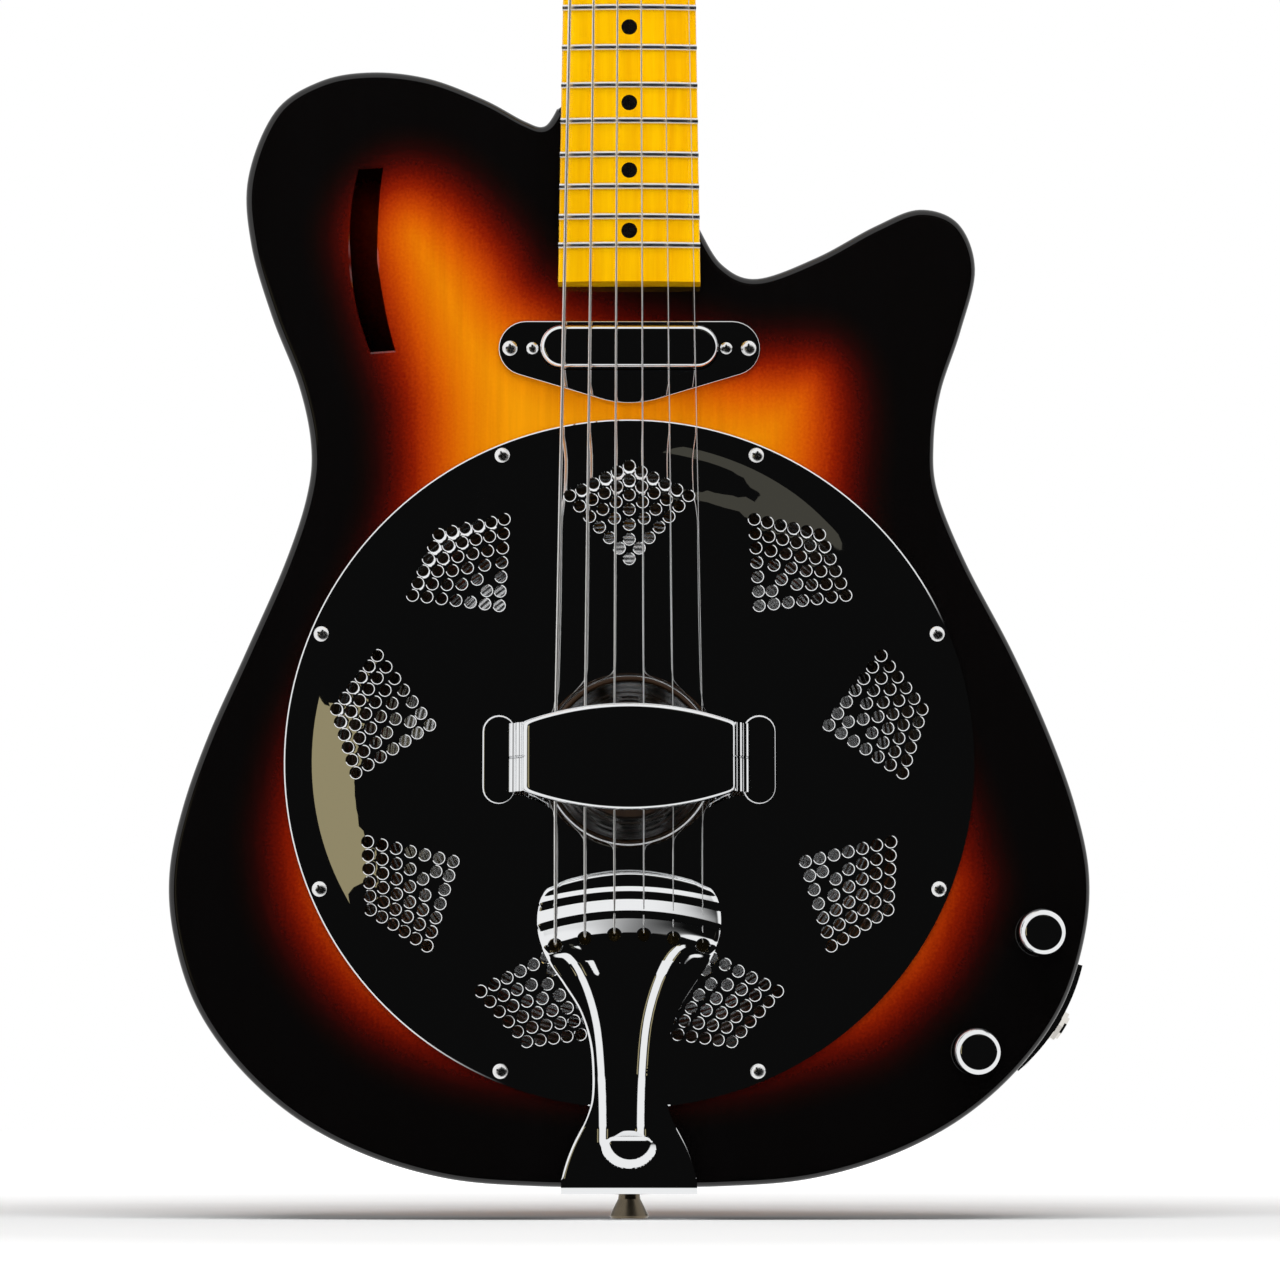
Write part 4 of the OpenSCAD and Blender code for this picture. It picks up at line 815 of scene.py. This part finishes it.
# ---- Coverplate ----
def dome(r):
    """Height of the coverplate: flat flange, a smooth shoulder, and a slight crown towards the mouth."""
    return 1.2 + 5.2 * (1 - smooth(r, 100, 132)) + 1.6 * (1 - smooth(r, 36, 100))


def perforations():
    """Nine kites of holes in nested chevrons, 40 degrees apart. Each chevron's arms end on the kite's inner
    sides. Returns the holes' centres."""
    arms = [5, 4, 3, 2, 1, 1, 0]
    inner, corner, pitch = 79.6, np.array([104.8, 23.5]), 5.93
    holes = []
    for j, reach in enumerate(arms):
        apex = np.array([inner if j == 6 else 117 - pitch * j, 0])
        end = corner + (np.array([inner, 0]) - corner) * j / 6
        k = np.arange(-reach, reach + 1)
        tip = np.column_stack([np.full(len(k), end[0]), np.sign(k) * end[1]])
        holes.append(apex + (tip - apex) * (np.abs(k) / max(reach, 1))[:, None])
    kite = np.vstack(holes)
    a = np.radians(np.arange(-70, 251, 40))[:, None]
    x = kite[:, 0] * np.cos(a) - kite[:, 1] * np.sin(a)
    y = kite[:, 0] * np.sin(a) + kite[:, 1] * np.cos(a)
    return np.column_stack([x.ravel(), y.ravel() + CONE_Y])


def crown(x, y):
    """The coverplate's height at x and y."""
    return dome(np.hypot(x, y - CONE_Y))


def perforated_crown(shape, segments):
    """The sheet between the shoulder and the mouth, its holes bevelled from their rims."""
    centres = perforations()
    holes = [circle(c, HOLE_R + BEVEL, 16) for c in centres]
    span = np.arange(-124, 125, 5.0)
    between_holes = lattice(span, span + CONE_Y, [0.017, 0.011])
    r = np.linalg.norm(between_holes - [0, CONE_Y], axis=1)
    between_holes = between_holes[(r > COVER_CROWN_R + 3) & (r < COVER_RING_R - 3)]
    gap = np.linalg.norm(between_holes[:, None] - centres[None], axis=-1).min(1)
    rims = [circle((0, CONE_Y), r, segments) for r in (COVER_RING_R, COVER_CROWN_R)]
    p, t = fill(rims + holes, between_holes[gap > HOLE_R + 1.4])
    n = len(p)
    up = np.column_stack([p, crown(p[:, 0], p[:, 1])])
    down = np.column_stack([p, crown(p[:, 0], p[:, 1]) - COVER_SHEET])
    e = rim_edges(t)
    e = e[(e[:, 0] >= 2 * segments) & (e[:, 1] >= 2 * segments)]
    ids = np.unique(e)
    near = centres[np.argmin(np.linalg.norm(p[ids][:, None] - centres[None], axis=-1), 1)]
    bevel = np.column_stack([near + (p[ids] - near) * (HOLE_R / (HOLE_R + BEVEL)), up[ids, 2] - 0.2])
    k = np.searchsorted(ids, e) + 2 * n
    shape.add(np.vstack([up, down, bevel]), t, t[:, ::-1] + n,
              np.column_stack([e[:, 1], e[:, 0], k[:, 0], k[:, 1]]),
              np.column_stack([k[:, 1], k[:, 0], e[:, 0] + n, e[:, 1] + n]))


def coverplate():
    """The perforated crown between two turned profiles: the shoulder with its flange, and the mouth's lip, a
    quarter circle down from the crown."""
    segments = 192
    shape = Shape()
    perforated_crown(shape, segments)
    r = np.concatenate([np.linspace(COVER_RING_R, 132, 9), [134, 135.4]])
    edge = [[COVER_R - 0.1, 0.95], [COVER_R, 0.6], [COVER_R - 0.1, 0.05]]
    under = np.maximum(dome(r[::-1]) - COVER_SHEET, 0.02)
    lathe(shape, np.vstack([np.column_stack([r, dome(r)]), edge, np.column_stack([r[::-1], under])]),
          (0, CONE_Y), segments)
    lip_r, lip_top = MOUTH_R + 5, 8.0
    r = np.linspace(COVER_CROWN_R, lip_r, 8)
    a = np.radians(np.linspace(90, 180, 9))
    turn = np.column_stack([np.cos(a), np.sin(a)])
    lip_centre, low = [lip_r, lip_top - 5], lip_top - 5.6
    lip = [(lip_centre + 5 * turn)[1:], [[MOUTH_R + 0.3, low], [MOUTH_R + 0.9, low]],
           (lip_centre + 3.8 * turn)[::-1]]
    under = dome(r[::-1]) - COVER_SHEET
    lathe(shape, np.vstack([np.column_stack([r, dome(r)])] + lip + [np.column_stack([r[::-1], under])]),
          (0, CONE_Y), segments)
    return shape


finish_piece(coverplate().build("domed_coverplate", sharp=25), "root", ["coverplate"], CHROME)


# ---- Hand rest ----
def hand_rest():
    """An arched sheet: the path (x, z) of one end, mirrored, carried across the rest's barrel-shaped width,
    with both long edges rolled down in a quarter circle."""
    half_path = curve([[0, 28], [14, 28], [28, 28], [37, 27.9], [40.4, 27.0], [41.7, 25.0], [42.0, 23.6],
                       [43.3, 22.9], [44.3, 21.6], [44.5, 20.0], [45.8, 19.3], [46.8, 18.0], [47.0, 15],
                       [47.1, 12], [47.2, 9.2]], 6)
    path = np.vstack([half_path[::-1] * [-1, 1], half_path[1:]])
    x, z = path[:, 0], path[:, 1]
    bulge = 20.9 - 7.2 * (np.abs(x) / 41) ** 2
    half = np.where(np.abs(x) < 41, bulge, 13.4)
    edge = 2.3
    a = np.radians(np.linspace(0, 90, 8))
    inset = np.concatenate([edge * (1 - np.sin(a))[::-1], [4, 8, 14]])
    drop = np.concatenate([edge * (1 - np.cos(a))[::-1], [0, 0, 0]])
    share = smooth(28 - z, 1, 3)
    top = [(-(half - i), z - d * (1 - share)) for i, d in zip(inset, drop)]
    top += [(np.zeros_like(x), z)]
    top += [(half - i, z - d * (1 - share)) for i, d in zip(inset[::-1], drop[::-1])]
    skirt_z = z - (edge + 1.2) * (1 - share)
    rows = [(-half, skirt_z)] + top + [(half, skirt_z)]
    p = np.stack([np.column_stack([x, CONE_Y + y, height]) for y, height in rows], 0)
    shape = Shape()
    thick_grid(shape, p[::-1], 1.2)
    for s in (-1, 1):
        loop = stadium((0, 0), 35, 13)
        loop = np.column_stack([-loop[:, 1], loop[:, 0]]) + [s * 51.0, CONE_Y]
        rings = rounded_rings(loop, 9.7, 8.02, 0.9, steps=4)
        plate(shape, [rings[0][:, :2]], flat(9.7), flat(8.02), rings)
    return shape


finish_piece(hand_rest().build("chrome_hand_rest", sharp=60), "root", ["hand_rest"], CHROME)


# ---- Tailpiece ----
# Half the tailpiece's width along it, measured down from its front edge
TAIL_SIDE = [[31.9, -7], [34.7, -14], [34.6, -24], [30.7, -34], [24.7, -43], [18.1, -54], [14.2, -68],
             [13.6, -85], [15.8, -95], [21.6, -107], [25.0, -117], [26.5, -126]]


def tailpiece():
    """A sheet over (s, v): s runs back from the front edge and down the flap, v across from -1 to 1. Its
    height steps over the string bar and falls to the body's end, and two ridges run together into a stem:
    2.3 exp(-(d / 3.1)^2) at the distance d from their spine."""
    side = curve([[21, -0.2], [29.5, -4.4]] + TAIL_SIDE, 8)
    fold = 122.0
    bands = np.array([0, 0.3, 0.9, 5.5, 5.6, 8.2, 8.3, 10.5, 10.6, 16, 16.1, 17.3, 17.4, 24.2, 25.2, 27.5, 34])
    rise = np.array([-1.6, -0.5, 0, 0, 0.04, 1.0, 0, 0, 0.04, 2.0, 0.3, 0.2, 0.24, 2.5, 2.2, 1.4, 0])
    s = np.unique(np.concatenate([bands, np.linspace(0.9, 46, 96), np.linspace(46.6, fold - 3, 130)]))
    v = np.linspace(-1, 1, 121)[None, :]
    sag = (0.0043 * (1 - smooth(s, 20, 48)))[:, None]
    x = np.interp(s, -side[:, 1], side[:, 0])[:, None] * v
    back = s[:, None] + sag * x ** 2
    half = np.interp(back, -side[:, 1], side[:, 0])
    x = half * v
    bow = 68 - np.sqrt(68 ** 2 - np.minimum(np.abs(x), 34) ** 2) - 0.0043 * x ** 2
    y = BAR_FRONT - back - bow * (1 - smooth(s, 0, 5))[:, None]
    base = np.interp(s, [0, 30, 40, 79, 99, fold - 6, fold - 3], [9.8, 9.8, 10.6, 8.1, 3.9, 3.8, 3.7])
    z = (base + np.interp(s, bands, rise))[:, None] + 0 * x
    spine = curve([[35, 25.5], [29.5, 28], [23.5, 29.5], [18.5, 34.5], [14.6, 42], [11.8, 50], [9.9, 58],
                   [8.8, 66], [8.1, 75], [7.6, 85], [7.4, 95], [7.4, 104]], 8)
    near = np.full(x.shape, 1e9)
    for sx, ss in spine:
        near = np.minimum(near, np.hypot(np.abs(x) - sx, back - ss))
    strength = 2.3 * smooth(s, 22, 30)[:, None]
    ridge = strength * np.exp(-(near / 3.1) ** 2)
    mound = np.clip((11.3 - np.hypot(x, (back - 103.5) * 1.05)) / 4.2, 0, 1)
    mound = 3.3 * mound * smooth(back, 100, 105)
    z = z + np.maximum(ridge, mound)
    z = z - 0.35 * smooth(np.abs(x) - half, -0.6, 0.0)
    p = np.stack([x, y, z], -1)
    # The bend over the body's end and the flap below it
    out_y, top_z, reach, drop = BAR_FRONT - fold + 3, 3.7, 4.35, 3.5
    rows = [(out_y - reach * math.sin(a), top_z - drop + drop * math.cos(a))
            for a in np.radians(np.linspace(8, 90, 9))]
    rows += [(out_y - reach, low) for low in (-4, -12, -20, -27, -34)]
    flap = [np.column_stack([26.5 * v[0], np.full(v.size, y), np.full(v.size, z)]) for y, z in rows]
    return np.concatenate([p, np.stack(flap)])


tail = Shape()
thick_grid(tail, tailpiece()[::-1], 1.4)
tail_piece = tail.build("embossed_tailpiece", sharp=60)
bar_x = 57.4 * (np.arange(6) / 5 - 0.5)
ball_y = BAR_FRONT - 24.2 - 4.3 * ((np.arange(6) - 2.5) / 2.5) ** 2
bore(tail_piece, np.column_stack([bar_x, ball_y, np.full(6, 4.0)]),
     np.column_stack([bar_x, ball_y, np.full(6, 16.0)]), 3.0, 28, "MANIFOLD")
tail_piece.data.materials.clear()
tail_piece.data.polygons.foreach_set("material_index", np.zeros(len(tail_piece.data.polygons), int))
tail_piece.data.shade_smooth()
tail_piece.data.set_sharp_from_angle(angle=math.radians(60))
finish_piece(tail_piece, "root", ["tailpiece"], CHROME)


# ---- Pickup ----
def surround_loop():
    """The pickup plate's outline: a round end each side, joined by straight lines to a wide arc below."""
    slope, end_r, end_x = 16.8, 11, 52 - 11
    a = 270 - slope
    return np.vstack([arc((-end_x, 0), end_r, 90, a, 14), arc((0, 18), 40, a, 540 - a, 10),
                      arc((end_x, 0), end_r, 540 - a, 450, 14)]) + [0, PICKUP_Y]


surround = Shape()
plate_rings = rounded_rings(surround_loop(), 1.3, 0.0, 0.55, steps=4)
screws = [circle((s * x, PICKUP_Y), 1.55, 20) for s in (-1, 1) for x in (38.5, 47.4)]
plate(surround, [plate_rings[0][:, :2], stadium((0, PICKUP_Y), 71.2, 17.6)] + screws, flat(1.3), flat(0.0),
      plate_rings)
finish_piece(surround.build("surround_plate", sharp=50), "root", ["pickup_plate"], CHROME)

shell = Shape()
shell_rings = rounded_rings(stadium((0, PICKUP_Y), 70.6, 17, 24), 8.0, -13.9, 2.4, steps=8)
plate(shell, [shell_rings[0][:, :2]], flat(8.0), flat(-13.9), shell_rings)
finish_piece(shell.build("pickup_shell", sharp=50), "pickup", ["pickup_cover"], CHROME)

# ---- Knobs ----
# A knob's profile: flat foot, slightly waisted side, rounded shoulder and domed top
KNOB = np.vstack([[[0, 1.3], [8.2, 1.3], [8.9, 1.5], [9.2, 2.0]], arc((5.2, 13.4), 4.0, 0, 88, 14),
                  [[3, 17.5], [1.5, 17.55], [0, 17.57]]])
for knob_name, node_name, body, centre in (
        ("volume_knob_cap", "volume_knob", "volume_control", (160.8, -727.1)),
        ("tone_knob_cap", "tone_knob", "tone_control", (135.2, -773.4))):
    cap = Shape()
    lathe(cap, KNOB, centre)
    lathe(cap, [[0, -11], [3, -11], [3, 1.6], [0, 1.6]], centre, segments=32)
    finish_piece(cap.build(knob_name, sharp=50), body, [node_name], CHROME)

# ---- Strings ----
STRING_R = [0.67, 0.53, 0.41, 0.3, 0.2, 0.15]
POST_X = [-21, -21.5, -22, 22, 21.5, 21]


def string_route(i):
    """Ball end, over the tailpiece, saddle and nut, and one and a quarter turns round the post."""
    r = STRING_R[i]
    bar, nut = bar_x[i], 34.8 * (i / 5 - 0.5)
    bar_top = BOARD_TOP + r + 0.04
    side, turn_r = (1 if i < 3 else -1), POST_R + r + 0.02
    v = 46 + 41 * (i if i < 3 else 5 - i)
    a = np.radians(np.arange(0, 451, 15))
    wrap = on_head(POST_X[i] + side * turn_r * np.cos(a), v + turn_r * np.sin(a),
                   10 - 2 * r * np.degrees(a) / 360)
    start = [[bar, ball_y[i], 9.6], [bar, ball_y[i] + 0.4, 11.2], [bar, ball_y[i] + 1.6, bar_top],
             [bar, BAR_FRONT - 4.3, bar_top]]
    return np.vstack([start, [[bar, -652, 17.3], [nut, 0, 14], [nut, HEAD_START, 13.7]], wrap])


for set_name, node_name, numbers, slot in (
        ("wound_string_set", "wound_strings", (0, 1, 2), "wound_nickel"),
        ("plain_string_set", "plain_strings", (3, 4, 5), "plain_steel")):
    strings = Shape()
    for i in numbers:
        tube(strings, string_route(i), STRING_R[i], 12)
    finish_piece(strings.build(set_name, sharp=60), "root", [node_name], LOOKS[slot])


# ---- Floor, light, camera ----
def pale_floor():
    """A wide plain floor just under the guitar. It glows more with the distance from the guitar's foot, so
    that it runs into the white behind."""
    look, tree, shader = new_material("pale_floor", Base_Color=(0.86, 0.86, 0.86, 1), Roughness=0.8,
                                      Emission_Color=(1, 1, 1, 1), Specular_IOR_Level=0.0)
    where = tree.nodes.new("ShaderNodeTexCoord")
    flatten = tree.nodes.new("ShaderNodeVectorMath")
    flatten.operation = "MULTIPLY"
    flatten.inputs[1].default_value = (1, 1, 0)
    away = tree.nodes.new("ShaderNodeVectorMath")
    away.operation = "LENGTH"
    fade = node(tree, "ShaderNodeMapRange", From_Min=0.3, From_Max=1.4, To_Min=0.02, To_Max=1.0)
    tree.links.new(where.outputs["Object"], flatten.inputs[0])
    tree.links.new(flatten.outputs["Vector"], away.inputs[0])
    tree.links.new(away.outputs["Value"], fade.inputs["Value"])
    tree.links.new(fade.outputs["Result"], shader.inputs["Emission Strength"])
    mesh = bpy.data.meshes.new("floor")
    reach, z = 12.0, cad_low.z - 0.0003
    mesh.from_pydata([(-reach, -reach, z), (reach, -reach, z), (reach, reach, z), (-reach, reach, z)], [],
                     [(0, 1, 2, 3)])
    mesh.materials.append(look)
    floor = bpy.data.objects.new("floor", mesh)
    scene.collection.objects.link(floor)
    floor.visible_glossy = False
    return floor


pale_floor()


def studio():
    """A white room that is dark in front of the guitar, so that its metal mirrors black. With the direction
    (x, y, z) and t = y - 0.25 x + 0.45 max(z, 0), it turns white where t passes -0.48: soonest above and on
    the bass side. The camera sees white past the guitar, and a dull surface gets about a quarter of it."""
    world = bpy.data.worlds.new("studio")
    scene.world = world
    world.use_nodes = True
    tree = world.node_tree
    back = tree.nodes["Background"]
    where = tree.nodes.new("ShaderNodeTexCoord")
    split = tree.nodes.new("ShaderNodeSeparateXYZ")
    above, left, tilt = (tree.nodes.new("ShaderNodeMath") for _ in range(3))
    above.operation = "MAXIMUM"
    above.inputs[1].default_value = 0.0
    left.operation = tilt.operation = "MULTIPLY_ADD"
    left.inputs[1].default_value = -0.25
    tilt.inputs[1].default_value = 0.45
    front = node(tree, "ShaderNodeMapRange", From_Min=-0.52, From_Max=-0.44, To_Min=0.004, To_Max=0.95)
    front.interpolation_type = "SMOOTHSTEP"
    camera_ray = tree.nodes.new("ShaderNodeLightPath")
    pick = tree.nodes.new("ShaderNodeMix")
    pick.data_type = "RGBA"
    pick.inputs[7].default_value = (1, 1, 1, 1)
    dull = node(tree, "ShaderNodeMapRange", To_Min=1.0, To_Max=0.23)
    link = tree.links.new
    link(camera_ray.outputs["Is Diffuse Ray"], dull.inputs["Value"])
    link(dull.outputs["Result"], back.inputs["Strength"])
    link(where.outputs["Generated"], split.inputs[0])
    link(split.outputs["Z"], above.inputs[0])
    link(split.outputs["X"], left.inputs[0])
    link(split.outputs["Y"], left.inputs[2])
    link(above.outputs[0], tilt.inputs[0])
    link(left.outputs[0], tilt.inputs[2])
    link(tilt.outputs[0], front.inputs["Value"])
    link(front.outputs["Result"], pick.inputs[6])
    link(camera_ray.outputs["Is Camera Ray"], pick.inputs["Factor"])
    link(pick.outputs[2], back.inputs["Color"])


studio()


def area(name, where, aim, size, power, colour=(1, 1, 1), mirrored=False):
    """A rectangular panel of light. Only a mirrored one shows in the metal."""
    light = bpy.data.lights.new(name, "AREA")
    light.shape = "RECTANGLE"
    light.size, light.size_y = size
    light.energy = power
    light.color = colour
    lamp = bpy.data.objects.new(name, light)
    scene.collection.objects.link(lamp)
    lamp.location = where
    lamp.visible_glossy = mirrored
    lamp.rotation_euler = (Vector(aim) - Vector(where)).to_track_quat("-Z", "Y").to_euler()


body_middle = (0, 0, -0.6)
area("left_panel", (-2.2, -1.7, 0.2), body_middle, (1.2, 1.8), 10)
area("right_panel", (2.2, -1.7, 0.2), body_middle, (1.2, 1.8), 10)
area("top_panel", (0, -1.0, 1.6), body_middle, (2.4, 1.2), 60)
area("warm_card", (-1.09, -1.75, -0.64), (0, 0, -0.66), (0.4, 0.66), 0.26, (1.0, 0.86, 0.48), mirrored=True)
area("grey_card", (0.46, -1.83, 0.43), body_middle, (0.7, 0.25), 0.03, (1.0, 0.95, 0.75), mirrored=True)

camera_data = bpy.data.cameras.new("camera")
camera_data.sensor_width = 36
camera_data.lens = 128.2
camera = bpy.data.objects.new("camera", camera_data)
scene.collection.objects.link(camera)
camera.location = (0.00426, -1.7901, -0.7996)
camera.rotation_euler = (math.radians(96), 0, 0)
scene.camera = camera
scene.view_settings.view_transform = "Standard"

bpy.context.view_layer.update()
